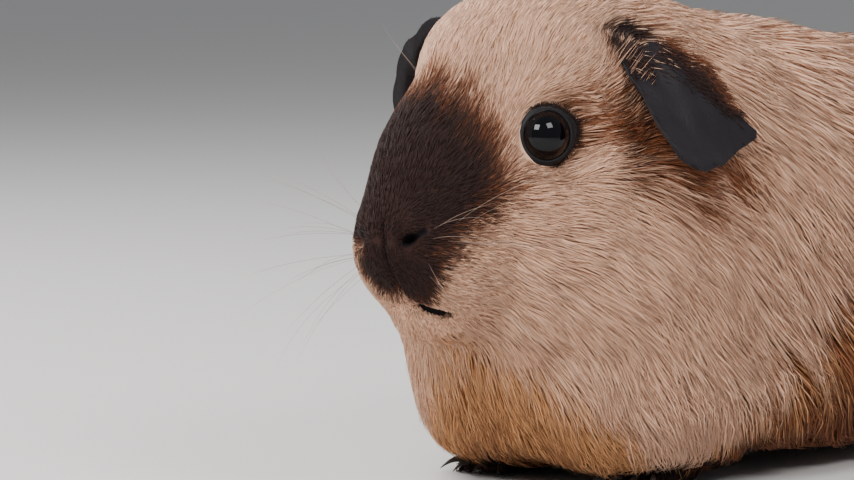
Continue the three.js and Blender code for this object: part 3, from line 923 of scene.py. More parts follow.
@dataclass(frozen=True)
class Ear:
    """A thin petal that hangs from the side of the head along a curve.

    Its outline is drawn on its plane, where the first number runs across it from front to rear and the
    second down its curve from the root, both from the petal's middle.
    """

    side: Side
    root: Point
    crook: Point
    tip: Point
    across: Point
    span: float = 32.0  # the curve's length
    middle: Pair = (-2.0, 17.0)
    half_thickness: float = 0.42
    hollow: float = 0.01  # how much its face curves across
    front: float = 1.0  # how full its front half is
    outline: tuple[Pair, ...] = (
        (-0.5, -21.0),
        (-3.6, -14.0),
        (-6.6, -7.5),
        (-8.8, -3.2),
        (-10.8, 1.0),
        (-13.0, 4.6),
        (-13.4, 7.2),
        (-10.8, 10.4),
        (-5.5, 12.3),
        (0.5, 13.8),
        (5.6, 14.8),
        (9.2, 15.9),
        (12.2, 16.5),
        (11.2, 13.2),
        (10.5, 10.2),
        (10.1, 6.0),
        (10.0, -1.5),
        (9.4, -8.0),
        (7.6, -12.6),
        (4.4, -18.0),
    )

    def curve(self, share: Array) -> tuple[Array, Array]:
        """Places and directions along the middle of the ear, from its root at 0 to its tip at 1.

        Args:
            share: how far along each place is.

        Returns:
            The places and the directions.
        """
        a, b, c = (np.array(p) for p in (self.root, self.crook, self.tip))
        held = np.clip(share, 0, 1)[:, None]
        place = (1 - held) ** 2 * a + 2 * held * (1 - held) * b + held**2 * c
        along = unit((1 - held) * (b - a) + held * (c - b))
        return place + along * (share[:, None] - held) * self.span, along

    def reach(self, turn: Array) -> Array:
        """How far the outline is from the petal's middle in each direction.

        Args:
            turn: the directions, as angles.

        Returns:
            The distances.
        """
        corners = np.array(self.outline)
        turns, radii = np.arctan2(corners[:, 1], corners[:, 0]), np.hypot(corners[:, 0], corners[:, 1])
        order = np.argsort(turns)
        turns, radii = turns[order], radii[order]
        soft = [np.interp(turn + d, turns, radii, period=2 * math.pi) for d in (-0.03, 0.0, 0.03)]
        return sum(soft) / 3

    def lay(self, flat: Array, height: Array) -> Array:
        """Lays points of the petal's plane over its curve.

        Args:
            flat: places on the plane, as the outline has them.
            height: how far each is above the petal's middle sheet, outward.

        Returns:
            Places in the row frame.
        """
        breadth = np.where(flat[:, 0] < 0, flat[:, 0] * self.front, flat[:, 0]) + self.middle[0]
        share = (flat[:, 1] + self.middle[1]) / self.span
        place, along = self.curve(share)
        wide = unit(np.array(self.across) - along * (along @ np.array(self.across))[:, None])
        outward = np.cross(along, wide) * self.side.value
        near = np.hypot(flat[:, 0], flat[:, 1]) / self.reach(np.arctan2(flat[:, 1], flat[:, 0]))
        x, y = flat.T
        wave = 0.5 * np.sin(0.21 * y + 0.2 * x) + 0.22 * np.sin(0.55 * y - 0.4 * x)
        wave = wave + 0.12 * np.sin(0.9 * x + 0.5 * y)
        ridge = 1.1 * bump(x - 1.5 + 0.25 * y, 2.6) * smooth_step(-y, -7.0, 12.0)
        fold = 0.55 * bump(x + 5.0 - 0.3 * y, 1.6) * smooth_step(-y, -9.0, 4.0)
        curl = 0.75 * smooth_step(near, 0.78, 1.0) * smooth_step(-x, -3.0, 5.0)
        relief = (wave + ridge - fold + curl) * smooth_step(share, -0.1, 0.35)
        lift = height + self.hollow * breadth**2 + relief
        return from_head(place + wide * breadth[:, None] + outward * lift[:, None])

    def build(self, bm: bmesh.types.BMesh) -> None:
        """Adds the ear to the skin, in its second material.

        Args:
            bm: the skin's bmesh.
        """
        made = bmesh.ops.create_uvsphere(bm, u_segments=96, v_segments=44, radius=1.0)["verts"]
        ball = np.array([v.co for v in made])
        turn, near = np.arctan2(ball[:, 1], ball[:, 0]), np.hypot(ball[:, 0], ball[:, 1])
        flat = np.stack([np.cos(turn), np.sin(turn)], 1) * (near * self.reach(turn))[:, None]
        root = 1 + 1.6 * smooth_step(-flat[:, 1], 6.0, 18.0)
        height = np.sign(ball[:, 2]) * np.sqrt(np.clip(1 - near**6, 0, 1)) * self.half_thickness * root
        for vertex, place in zip(made, self.lay(flat, height)):
            vertex.co = Vector(place * MM)
        faces = list({f for v in made for f in v.link_faces})
        for face in faces:
            face.material_index = 1
        bmesh.ops.recalc_face_normals(bm, faces=faces)

    def hairs(self, rng: np.random.Generator, number: int) -> "Tufts":
        """The short hair on the outer face, along the rear edge and root: dark, with some rust and pale.

        Args:
            rng: picks the places.
            number: how many hairs are tried.

        Returns:
            The hairs.
        """
        turn = rng.uniform(-math.pi, math.pi, number)
        near = np.sqrt(rng.random(number))
        flat = np.stack([np.cos(turn), np.sin(turn)], 1) * (near * self.reach(turn))[:, None]
        rear = smooth_step(flat[:, 0] - 0.22 * flat[:, 1], 3.0, 8.5) * smooth_step(-flat[:, 1], -13.0, -6.0)
        root = smooth_step(-flat[:, 1] + 0.3 * flat[:, 0], 3.0, 12.0)
        edge = smooth_step(near, 0.93, 1.0) * 0.2
        keep = (rng.random(number) < np.maximum.reduce([rear, root, edge])) & (flat[:, 1] > -17)
        flat, rear, root, near = flat[keep], rear[keep], root[keep], near[keep]
        length = 1.6 + 1.9 * np.maximum(rear, root) + rng.normal(0, 0.4, len(flat))
        heading = rng.normal(1.15, 0.2, len(flat)) - 0.25 * root
        way = np.stack([np.cos(heading), np.sin(heading)], 1)
        steps = np.linspace(0, 1, 4)
        rise = self.half_thickness * 0.6 + 0.5 * (1 - (1 - steps) ** 1.6)
        path = []
        for step, height in zip(steps, rise):
            path.append(self.lay(flat + way * (length * step)[:, None], np.full(len(flat), height)))
        roots = path[0]
        out = unit(self.lay(flat, np.full(len(flat), 2.0)) - roots)
        chance = rng.random(len(flat))
        rust = smooth_step(rear * near + 0.4 * (chance - 0.5), 0.75, 1.05)
        pale = (root > 0.3) & (rng.random(len(flat)) < 0.05)
        marks = {"dark": np.where(pale, 0.0, 1 - 0.9 * rust), "rust": np.where(pale, 0.0, 1.0)}
        marks |= {"gold": np.zeros(len(flat)), "chance": rng.random(len(flat)), "bare": np.zeros(len(flat))}
        ups = np.repeat(out[:, None], 4, axis=1)
        return Tufts(np.stack(path, 1), ups, np.full(len(flat), 0.17), roots, marks)


EARS = (
    Ear(
        Side.LEFT,
        root=(-18.0, 15.5, 18.0),
        crook=(-15.0, 30.0, 9.0),
        tip=(-25.0, 35.0, -5.0),
        across=(-1.0, -0.1, 0.3),
    ),
    Ear(
        Side.RIGHT,
        root=(-13.1, -17.1, 19.0),
        crook=(-14.5, -33.0, 16.6),
        tip=(-29.2, -30.2, -6.3),
        across=(-0.85, 0.41, -0.16),
        front=0.73,
    ),
)


@dataclass(frozen=True)
class Eye:
    """A dark eyeball that stands out from the face, with its lids round it."""

    side: Side
    radius: float = 5.5
    out: float = 12.4  # how far the ball's middle is from the head's middle
    forward: float = 2.75  # and how far before the head's own origin
    opening: float = 4.6  # radius of the part that shows
    cornea: float = 0.35  # how far the cornea bulges
    tear: float = 0.16  # how thick the line of tears is
    pupil_height: float = 4.35  # the ball is a pupil beyond this, along the line of sight
    corner: float = 0.15  # how far the lids run out at the rear corner
    front_corner: float = 0.24  # the same at the front corner

    @property
    def centre(self) -> Array:
        """The middle of the ball."""
        return from_head(np.array([self.forward, self.side.value * self.out, 0.0]))

    @property
    def axes(self) -> Array:
        """Rows: towards the animal's rear, up, and out of the head along the line of sight.

        Returns:
            The three axes.
        """
        out = unit(np.array([0.47, self.side.value, 0.07]) @ HEAD_AXES)
        rear = unit(np.cross(UP, out) * self.side.value * -1)
        rear = rear if rear[0] < 0 else -rear
        return np.array([rear, unit(np.cross(out, rear)) * np.sign(np.cross(out, rear)[2]), out])

    def place(self, local: Array) -> Array:
        """Places about the ball, in its own axes, in the row frame."""
        return self.centre + local @ self.axes

    def ball(self, wardrobe: Wardrobe) -> bpy.types.Object:
        """Builds the ball with its cornea, and the line of tears along its lids.

        Args:
            wardrobe: the materials.

        Returns:
            The eyeball.
        """
        bm = bmesh.new()
        made = bmesh.ops.create_uvsphere(bm, u_segments=96, v_segments=64, radius=self.radius)["verts"]
        local = np.array([v.co for v in made])
        height = local[:, 2] / self.radius
        bulge = 1 + self.cornea / self.radius * smooth_step(height, 0.55, 1.0)
        for vertex, place in zip(made, self.place(local * bulge[:, None])):
            vertex.co = Vector(place * MM)
        for face in bm.faces:
            middle = (np.array(face.calc_center_median()) / MM - self.centre) @ self.axes[2]
            face.material_index = int(middle < self.pupil_height)
        turns = np.linspace(0, 2 * math.pi, 9)[:-1]
        inner = self.opening - 0.06
        self.ring(bm, [(inner + self.tear * math.cos(a), 3.08 + self.tear * math.sin(a)) for a in turns])
        bmesh.ops.recalc_face_normals(bm, faces=bm.faces)
        piece = add_object(f"eyeball_{self.side.word}", finish_mesh(bm, "eyeball"))
        wardrobe.dress(piece, "pupil", "iris")
        return piece

    def ring(self, bm: bmesh.types.BMesh, profile: list[Pair]) -> list[bmesh.types.BMVert]:
        """Spins a closed profile round the line of sight, and draws it out to the lids' two corners.

        Args:
            bm: the bmesh that takes the ring.
            profile: distances from the line of sight and heights along it.

        Returns:
            The ring's vertices.
        """
        before = set(bm.verts)
        line = [bm.verts.new((r, 0.0, h)) for r, h in profile]
        edges = [bm.edges.new((a, b)) for a, b in zip(line, line[1:] + line[:1])]
        bmesh.ops.spin(
            bm,
            geom=line + edges,
            cent=(0, 0, 0),
            axis=(0, 0, 1),
            angle=2 * math.pi,
            steps=80,
            use_merge=True,
        )
        made = [v for v in bm.verts if v not in before]
        for vertex, place in zip(made, self.place(self.almond(np.array([v.co for v in made])))):
            vertex.co = Vector(place * MM)
        return made

    def almond(self, local: Array) -> Array:
        """Draws places on a round lid out into its two corners, and makes its edge a little uneven.

        Args:
            local: places in the eye's own axes.

        Returns:
            The moved places.
        """
        across = np.hypot(local[:, 0], local[:, 1])
        turn = np.arctan2(local[:, 1], local[:, 0])
        outer = smooth_step(across, self.opening, self.opening + 1.5)
        rear = bump(turn - 0.3, 0.36) * smooth_step(across, self.opening - 0.4, self.opening + 1.4)
        front = bump(math.pi - np.abs(turn), 0.75) * outer
        uneven = outer * (0.018 * np.sin(3 * turn + 0.7) + 0.012 * np.sin(5 * turn + 2.0))
        stretch = 1 + self.corner * rear + self.front_corner * front + uneven
        flatter = 0.985 - 0.05 * outer
        height = local[:, 2] - 0.5 * rear - 0.35 * front + outer * 0.14 * np.sin(2 * turn + 0.4)
        return np.stack([local[:, 0] * stretch, local[:, 1] * stretch * flatter, height], 1)

    def fringe(self, rng: np.random.Generator, number: int) -> "Tufts":
        """The short dark hairs round the outside of the lids.

        Args:
            rng: picks the places.
            number: how many hairs.

        Returns:
            The hairs.
        """
        turn = rng.uniform(-math.pi, math.pi, number)
        out = rng.uniform(self.opening + 0.75, self.opening + 1.6, number)
        length = rng.uniform(0.5, 1.3, number)
        lean = turn + rng.normal(0.0, 0.3, number) + 0.35 * np.sin(turn)
        path = []
        for share in (0.0, 0.5, 1.0):
            flat = np.stack([np.cos(turn), np.sin(turn)], 1) * out[:, None]
            flat = flat + np.stack([np.cos(lean), np.sin(lean)], 1) * (length * share)[:, None]
            height = 3.05 - 0.75 * (out - self.opening - 0.75)
            height = height + 0.25 * math.sin(math.pi * share) - 0.55 * share * length
            path.append(self.place(self.almond(np.column_stack([flat, height]))))
        marks = {"dark": np.ones(number), "rust": np.ones(number), "gold": np.zeros(number)}
        marks |= {"bare": np.zeros(number), "chance": rng.random(number)}
        ups = np.tile(self.axes[2], (number, 3, 1))
        return Tufts(np.stack(path, 1), ups, np.full(number, 0.15), path[0], marks)

    def lids(self, bm: bmesh.types.BMesh) -> None:
        """Adds the lids to the skin, in its third material.

        Args:
            bm: the skin's bmesh.
        """
        profile = [
            (self.opening - 0.14, 2.7),
            (self.opening - 0.04, 3.14),
            (self.opening + 0.14, 3.32),
            (self.opening + 0.34, 3.28),
            (self.opening + 0.5, 3.06),
            (self.opening + 0.64, 3.0),
            (self.opening + 0.85, 3.0),
            (self.opening + 1.1, 2.85),
            (self.opening + 1.4, 2.5),
            (self.opening + 1.75, 1.9),
            (self.opening + 2.1, 1.1),
            (self.opening + 2.3, 0.1),
            (self.opening + 1.3, -0.7),
            (self.opening + 0.2, 0.4),
        ]
        made = self.ring(bm, profile)
        faces = list({f for v in made for f in v.link_faces})
        for face in faces:
            face.material_index = 2
        bmesh.ops.recalc_face_normals(bm, faces=faces)


BOTH_EYES = (Eye(Side.LEFT), Eye(Side.RIGHT))


# ---- The skin ----


class Features:
    """The nostrils, philtrum and mouth, as broken lines laid on the skin, in head places."""

    LINES = {
        "pit": ((31.3, 5.7, -17.7), (31.1, 6.2, -17.4)),
        "slit": ((31.4, 5.0, -18.3), (31.0, 6.2, -17.4), (29.6, 8.6, -15.9)),
        "philtrum": MARKINGS.philtrum,
        "lips": ((25.8, 0.0, -30.2), (25.7, 3.6, -30.5)),
        "mouth": ((25.7, 3.6, -30.5), (22.3, 7.5, -32.3)),
    }
    MARGINS = {"pit": 1.5, "slit": 0.85, "philtrum": 0.4, "lips": 0.1, "mouth": 1.05}  # clear of hair
    # How wide and how deep each line is carved.
    CUTS = {
        "pit": (1.15, 2.6),
        "slit": (0.65, 1.1),
        "philtrum": (0.65, 0.9),
        "lips": (0.6, 0.45),
        "mouth": (1.1, 1.9),
    }
    # How far the animal's right side is moved before it is measured, where it isn't the left side's mirror.
    RIGHT_SHIFT = {"mouth": (4.5, 4.0, 2.0), "pit": (0.25, 0.0, 0.0), "slit": (0.25, 0.0, 0.0)}

    def __init__(self, surface: Surface) -> None:
        """Lays the lines on a surface.

        Args:
            surface: the skin before it is carved.
        """
        self.lines = {}
        for name, corners in self.LINES.items():
            points = np.vstack([np.linspace(a, b, 6) for a, b in zip(corners[:-1], corners[1:])])
            laid, _ = surface.nearest(from_head(points))
            self.lines[name] = [tuple(p) for p in to_head(laid) + np.arange(len(laid))[:, None] * 1e-6]

    def distance(self, name: str, points: Array) -> Array:
        """How far places in the row frame are from one of the lines, on either side of the head.

        Args:
            name: the line.
            points: places in the row frame.

        Returns:
            One distance for each place.
        """
        head = to_head(points)
        head = head + (head[:, 1:2] < 0) * np.array(self.RIGHT_SHIFT.get(name, (0.0, 0.0, 0.0)))
        if name != "philtrum":
            head = to_left(head)
        return line_distance(head, self.lines[name])

    def room(self, points: Array) -> Array:
        """How far each place is from the nearest bare feature's edge: below 0 on the feature."""
        return np.minimum.reduce([self.distance(name, points) - gap for name, gap in self.MARGINS.items()])


@dataclass(frozen=True)
class Skin:
    """The one skin over the head, neck, trunk, legs and feet, drawn in under the coat."""

    flesh: tuple[str, ...] = (
        "head",
        "neck",
        "trunk",
        "foreleg_left",
        "foreleg_right",
        "hindleg_left",
        "hindleg_right",
    )
    feet: tuple[str, ...] = ("forefoot_left", "forefoot_right", "hindfoot_left", "hindfoot_right")
    ears: tuple[str, ...] = ("ear_left", "ear_right")
    voxel: float = 1.4  # the size of the body's faces
    foot_voxel: float = 0.55  # and of the feet's
    seam: float = 0.25  # closes the cuts between the solids
    orbit: Point = (9.2, 9.2, 5.6)  # fills the socket round each eyeball
    orbit_depth: float = 2.45  # how far it is set in
    foot_top: float = 12.5  # the feet's finer faces end at this height
    foot_depth: float = 0.35  # the coat's depth on the feet
    fine_nose: float = 14.0  # how far finer faces reach round the nose
    fine_eye: float = 9.0  # the same round each eye
    # The wings and sills of the nostrils, lips, chin and whisker pads, and the hollow before each brow:
    # middle, radius and height.
    swellings: tuple[tuple[Point, float, float], ...] = (
        ((30.6, 5.6, -14.4), 2.0, 0.5),
        ((31.6, 5.0, -21.0), 1.5, 0.4),
        ((26.6, 4.2, -27.6), 2.6, 0.6),
        ((21.5, 3.0, -35.6), 4.4, 1.9),
        ((25.0, 8.5, -20.0), 5.0, 0.8),
        ((13.5, 10.4, 10.5), 7.5, -1.9),
    )
    # The haunches and shoulders, and the hollows near them, in the row frame: middle, radius and height.
    body_forms: tuple[tuple[Point, float, float], ...] = (
        ((-62.0, 42.0, 34.0), 22.0, 2.6),
        ((-28.0, 42.0, 46.0), 16.0, -2.0),
        ((44.0, 36.0, 40.0), 14.0, 1.4),
        ((22.0, 38.0, 30.0), 12.0, -1.6),
    )

    def shell(self, names: tuple[str, ...], voxel: float, rounds: int, extra: Callable) -> bpy.types.Mesh:
        """One closed, even, smooth mesh round several solids.

        Args:
            names: the solids.
            voxel: the size of its faces.
            rounds: how many times it is smoothed.
            extra: adds more shapes to the bmesh of solids.

        Returns:
            The mesh.
        """
        bm = bmesh.new()
        for name in names:
            bm.from_mesh(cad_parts[name].data)
        bmesh.ops.remove_doubles(bm, verts=bm.verts, dist=0.002 * MM)
        bm.normal_update()
        for vertex in bm.verts:
            vertex.co += vertex.normal * self.seam * MM
        extra(bm)
        solid = add_object("solids", finish_mesh(bm, "solids"))
        remesh = solid.modifiers.new("even", "REMESH")
        remesh.mode, remesh.voxel_size = "VOXEL", voxel * MM
        shown = solid.evaluated_get(bpy.context.evaluated_depsgraph_get())
        bm = bmesh.new()
        bm.from_mesh(shown.to_mesh())
        shown.to_mesh_clear()
        bpy.data.objects.remove(solid)
        soften(bm, list(bm.verts), rounds)
        return finish_mesh(bm, "shell")

    def fill_orbits(self, bm: bmesh.types.BMesh) -> None:
        """Adds a flattened ball in each eye socket, so that the face runs up to the lids.

        Args:
            bm: the bmesh of solids.
        """
        for eye in BOTH_EYES:
            made = bmesh.ops.create_uvsphere(bm, u_segments=40, v_segments=24, radius=1.0)["verts"]
            local = np.array([v.co for v in made]) * self.orbit - [0, 0, self.orbit_depth]
            for vertex, place in zip(made, eye.place(local)):
                vertex.co = Vector(place * MM)

    def refine(self, mesh: bpy.types.Mesh) -> bpy.types.Mesh:
        """Splits the faces of the nose and mouth and round the eyes into finer ones.

        Args:
            mesh: the skin.

        Returns:
            The finer mesh.
        """
        bm = bmesh.new()
        bm.from_mesh(mesh)
        for reach in (1.0, 0.82):
            places = to_head(np.array([v.co for v in bm.verts]) / MM)
            nose = np.linalg.norm(places - NOSE_MIDDLE, axis=1) < self.fine_nose * reach
            eyes = np.zeros(len(places), bool)
            for eye in BOTH_EYES:
                eyes |= np.linalg.norm(places - to_head(eye.centre), axis=1) < self.fine_eye * reach
            chosen = nose | eyes
            edges = [e for e in bm.edges if chosen[e.verts[0].index] and chosen[e.verts[1].index]]
            bmesh.ops.subdivide_edges(bm, edges=edges, cuts=1, use_grid_fill=True)
            bmesh.ops.triangulate(bm, faces=[f for f in bm.faces if len(f.verts) > 4])
            bm.verts.index_update()
            places = to_head(np.array([v.co for v in bm.verts]) / MM)
            near = np.linalg.norm(places - NOSE_MIDDLE, axis=1) < self.fine_nose
            for eye in BOTH_EYES:
                near |= np.linalg.norm(places - to_head(eye.centre), axis=1) < self.fine_eye
            soften(bm, [v for v in bm.verts if near[v.index]], 3)
        return finish_mesh(bm, "shell")

    def carve(self, mesh: bpy.types.Mesh, features: Features) -> Array:
        """Carves the nostrils, the philtrum and the mouth, and raises the forms round them.

        Args:
            mesh: the head's skin.
            features: the lines to carve.

        Returns:
            How bare each vertex is, from 0 to 1.
        """
        places, normals = mesh_places(mesh), mesh_normals(mesh)
        mirrored = to_left(to_head(places))
        cut, depth = {}, np.zeros(len(places))
        for name, (width, deep) in features.CUTS.items():
            cut[name] = bump(features.distance(name, places), width)
            depth += deep * cut[name]
        swell = np.zeros(len(places))
        for middle, radius, height in self.swellings:
            swell += height * bump(np.linalg.norm(mirrored - middle, axis=1), radius)
        set_places(mesh, places + normals * (swell - depth)[:, None])
        leather = smooth_step(cut["slit"], 0.1, 0.5) + smooth_step(cut["pit"], 0.2, 0.6)
        leather = leather + smooth_step(cut["philtrum"], 0.4, 0.9)
        return np.clip(leather + smooth_step(cut["mouth"], 0.12, 0.35), 0, 1)

    def build(self, wardrobe: Wardrobe) -> tuple[Surface, Comb]:
        """Builds the skin.

        Args:
            wardrobe: the materials.

        Returns:
            The surface the coat grows from, and the comb.
        """
        body = self.shell(self.flesh, self.voxel, 10, self.fill_orbits)
        feet = self.shell(self.feet + self.flesh[3:], self.foot_voxel, 4, lambda bm: None)
        comb = Comb(Surface(body))
        body = self.refine(body)
        self.draw_in(body, comb, 0.0)
        self.draw_in(feet, comb, -0.05)
        features = Features(Surface(body))
        room = features.room(mesh_places(body))
        bare = self.carve(body, features)
        bm = bmesh.new()
        layer = bm.verts.layers.float.new("bare")
        bm.from_mesh(body)
        bm.verts.ensure_lookup_table()
        for vertex, value in zip(bm.verts, bare):
            vertex[layer] = value
        grown = len(bm.faces)
        self.add_feet(bm, feet)
        root_mesh = bpy.data.meshes.new("grown")
        bm.to_mesh(root_mesh)
        on_feet = len(bm.faces) - grown
        log.info("skin under the coat: %d faces, %d of them on the feet", len(bm.faces), on_feet)
        for ear in EARS:
            ear.build(bm)
        for eye in BOTH_EYES:
            eye.lids(bm)
        skin = add_object("skin", finish_mesh(bm, "skin"))
        places = mesh_places(skin.data)
        marks = MARKINGS.marks(places, np.full(len(places), 0.5), 0.0)
        marks |= {"along": np.full(len(places), 0.7), "chance": np.full(len(places), 0.5)}
        set_marks(skin.data, marks)
        wardrobe.dress(skin, "skin", "ear", "lid")
        place_piece(skin, "coat_cream", *self.flesh, *self.feet, *self.ears)
        surface = Surface(root_mesh)
        surface.room[: len(room)] = room
        return surface, comb

    def draw_in(self, mesh: bpy.types.Mesh, comb: Comb, more: float) -> None:
        """Moves a mesh in from the coat's outline to the skin under it.

        Args:
            mesh: the mesh, which is changed.
            comb: gives the coat's depth.
            more: how much further in it goes.
        """
        places, normals = mesh_places(mesh), mesh_normals(mesh)
        depth = comb.read(places, normals).depth
        low = smooth_step(places[:, 2], 6.0, 13.0)
        limb = self.foot_depth + low * (depth - self.foot_depth)
        depth = np.where(self.near_feet(places), np.minimum(limb, depth), depth) + self.seam + more
        mirrored = to_left(places)
        for middle, radius, height in self.body_forms:
            depth -= height * bump(np.linalg.norm(mirrored - middle, axis=1), radius)
        set_places(mesh, places - normals * depth[:, None])

    def near_feet(self, places: Array) -> Array:
        """Which places belong to the legs and feet.

        Args:
            places: places in the row frame.

        Returns:
            True for each that does.
        """
        out = np.abs(np.abs(places[:, 1]) - np.where(places[:, 0] > 0, FORE_TRACK, HIND_TRACK))
        fore = (np.abs(places[:, 0] - FOREFEET) < 16) & (out < 11)
        hind = (np.abs(places[:, 0] - HINDFEET) < 26) & (out < 11)
        return (fore | hind) & (places[:, 2] < 14)

    def add_feet(self, bm: bmesh.types.BMesh, feet: bpy.types.Mesh) -> None:
        """Adds the finer feet, cut off where the body's own skin takes over.

        Args:
            bm: the skin's bmesh.
            feet: the mesh of the feet.
        """
        fine = bmesh.new()
        fine.from_mesh(feet)
        geometry = list(fine.verts) + list(fine.edges) + list(fine.faces)
        cut = (0, 0, self.foot_top * MM)
        bmesh.ops.bisect_plane(fine, geom=geometry, plane_co=cut, plane_no=(0, 0, 1), clear_outer=True)
        rim = [e for e in fine.edges if e.is_boundary]
        bmesh.ops.holes_fill(fine, edges=rim, sides=0)
        trimmed = finish_mesh(fine, "feet")
        bm.from_mesh(trimmed)


# ---- The coat ----


class Patch(Enum):
    """The parts of the coat, each a piece of its own on either side."""

    MUZZLE = "muzzle"
    BROW = "brow"
    CHEEK = "cheek"
    RUFF = "ruff"
    BREAST = "breast"
    FLANK = "flank"
    RUMP = "rump"
    FEET = "feet"


@dataclass
class Tufts:
    """Tufts of one kind: their paths, the way up along them, and a few numbers for each."""

    paths: Array
    ups: Array
    widths: Array
    roots: Array
    marks: dict[str, Array]

    def pick(self, chosen: Array) -> "Tufts":
        """The chosen tufts alone."""
        marks = {name: values[chosen] for name, values in self.marks.items()}
        return Tufts(self.paths[chosen], self.ups[chosen], self.widths[chosen], self.roots[chosen], marks)

    @property
    def triangles(self) -> int:
        """How many triangles the tufts' mesh has."""
        return len(self.paths) * (6 * (self.paths.shape[1] - 1) - 2)


SIDES_OF_TUFT = 3
TUFT_TAPER = ((0.0, 0.7), (0.3, 1.0), (0.7, 0.72), (1.0, 0.1))  # share of the width along a tuft
TUFT_FLATNESS = 0.75  # a tuft's height against its width
BAKE_PATCH = 0.003  # the side of a tuft's patch on its map
BAKE_MARGIN = 0.012  # the map's empty edge


def unwrap(roots: Array) -> Array:
    """Unwraps places on the skin from a capsule round the body's own middle line.

    Args:
        roots: places on the skin.

    Returns:
        Two numbers for each: how far along, and the angle round.
    """
    start, end = np.array([-70.0, 0.0, 42.0]), np.array([82.0, -2.0, 54.0])
    axis = end - start
    along = ((roots - start) @ axis) / (axis @ axis)
    held = np.clip(along, 0, 1)
    middle = start + held[:, None] * axis
    off = roots - middle
    across = np.hypot(off[:, 1], off[:, 2])
    beyond = (along - held) * np.linalg.norm(axis)
    length = held * np.linalg.norm(axis) + 40 * np.arctan2(beyond, across)
    return np.stack([length, np.arctan2(off[:, 2], np.abs(off[:, 1]))], 1)


def tuft_faces(rings: int) -> Array:
    """The triangles of one tuft with a number of rings and a point.

    Args:
        rings: how many rings it has.

    Returns:
        The triangles' corners.
    """
    n, faces = SIDES_OF_TUFT, []
    for ring in range(rings - 1):
        for j in range(n):
            a, b = ring * n + j, ring * n + (j + 1) % n
            faces += [(a, b, b + n), (a, b + n, a + n)]
    last, tip = (rings - 1) * n, rings * n
    faces += [(last + j, last + (j + 1) % n, tip) for j in range(n)]
    faces.append((0, 2, 1))
    return np.array(faces)


def strand_places(tufts: Tufts, rng: np.random.Generator) -> Array:
    """The vertices of each tuft's strand: rings along its path, and a point.

    Args:
        tufts: the tufts.
        rng: rolls each tuft about its path.

    Returns:
        The vertices' places, tuft by tuft.
    """
    number, points = tufts.paths.shape[:2]
    along = np.gradient(tufts.paths, axis=1)
    side = unit(np.cross(along, tufts.ups))
    lift = unit(np.cross(side, along))
    taper = np.interp(np.linspace(0, 1, points)[:-1], *zip(*TUFT_TAPER))
    reach = tufts.widths[:, None] / 2 * taper[None]
    roll = rng.uniform(-0.7, 0.7, number)
    end = (points - 1) * SIDES_OF_TUFT
    places = np.empty((number, end + 1, 3))
    for j in range(SIDES_OF_TUFT):
        turn = roll + math.pi / 2 + j * 2 * math.pi / SIDES_OF_TUFT
        out = side[:, :-1] * np.cos(turn)[:, None, None]
        out = out + TUFT_FLATNESS * lift[:, :-1] * np.sin(turn)[:, None, None]
        places[:, j:end:SIDES_OF_TUFT] = tufts.paths[:, :-1] + out * reach[..., None]
    places[:, -1] = tufts.paths[:, -1]
    return places


def tuft_mesh(name: str, kinds: list[Tufts], rng: np.random.Generator) -> bpy.types.Mesh:
    """Joins tufts of several kinds into one mesh, each a closed tapering strand with its own bake patch.

    Args:
        name: the mesh's name.
        kinds: the tufts.
        rng: rolls each tuft about its path.

    Returns:
        The mesh, with its marks and its OFBake map.
    """
    places, faces, spots, marks, count = [], [], [], [], 0
    flats = [unwrap(t.roots) for t in kinds]
    low = np.min([f.min(0) for f in flats if len(f)], axis=0)
    high = np.max([f.max(0) for f in flats if len(f)], axis=0)
    for tufts, flat in zip(kinds, flats):
        number, points = tufts.paths.shape[:2]
        strands = strand_places(tufts, rng)
        per = strands.shape[1]
        shift = count + np.arange(number)[:, None, None] * per
        faces.append((shift + tuft_faces(points - 1)[None]).reshape(-1, 3))
        count += number * per
        places.append(strands.reshape(-1, 3))
        steps = np.append(np.repeat(np.linspace(0, 1, points)[:-1], SIDES_OF_TUFT), 1.0)
        turns = np.append(np.tile([0.0, 0.5, 1.0], points - 1), 0.5)
        patch = np.stack([steps, turns], 1) * BAKE_PATCH
        first = BAKE_MARGIN + (flat - low) / (high - low) * (1 - 2 * BAKE_MARGIN - BAKE_PATCH)
        spots.append((first[:, None] + patch[None]).reshape(-1, 2))
        repeated = {mark: np.repeat(values, per) for mark, values in tufts.marks.items()}
        marks.append(repeated | {"along": np.tile(steps, number)})
    mesh = triangle_mesh(name, np.vstack(places), np.vstack(faces), np.vstack(spots))
    set_marks(mesh, {mark: np.concatenate([m[mark] for m in marks]) for mark in marks[0]})
    return mesh


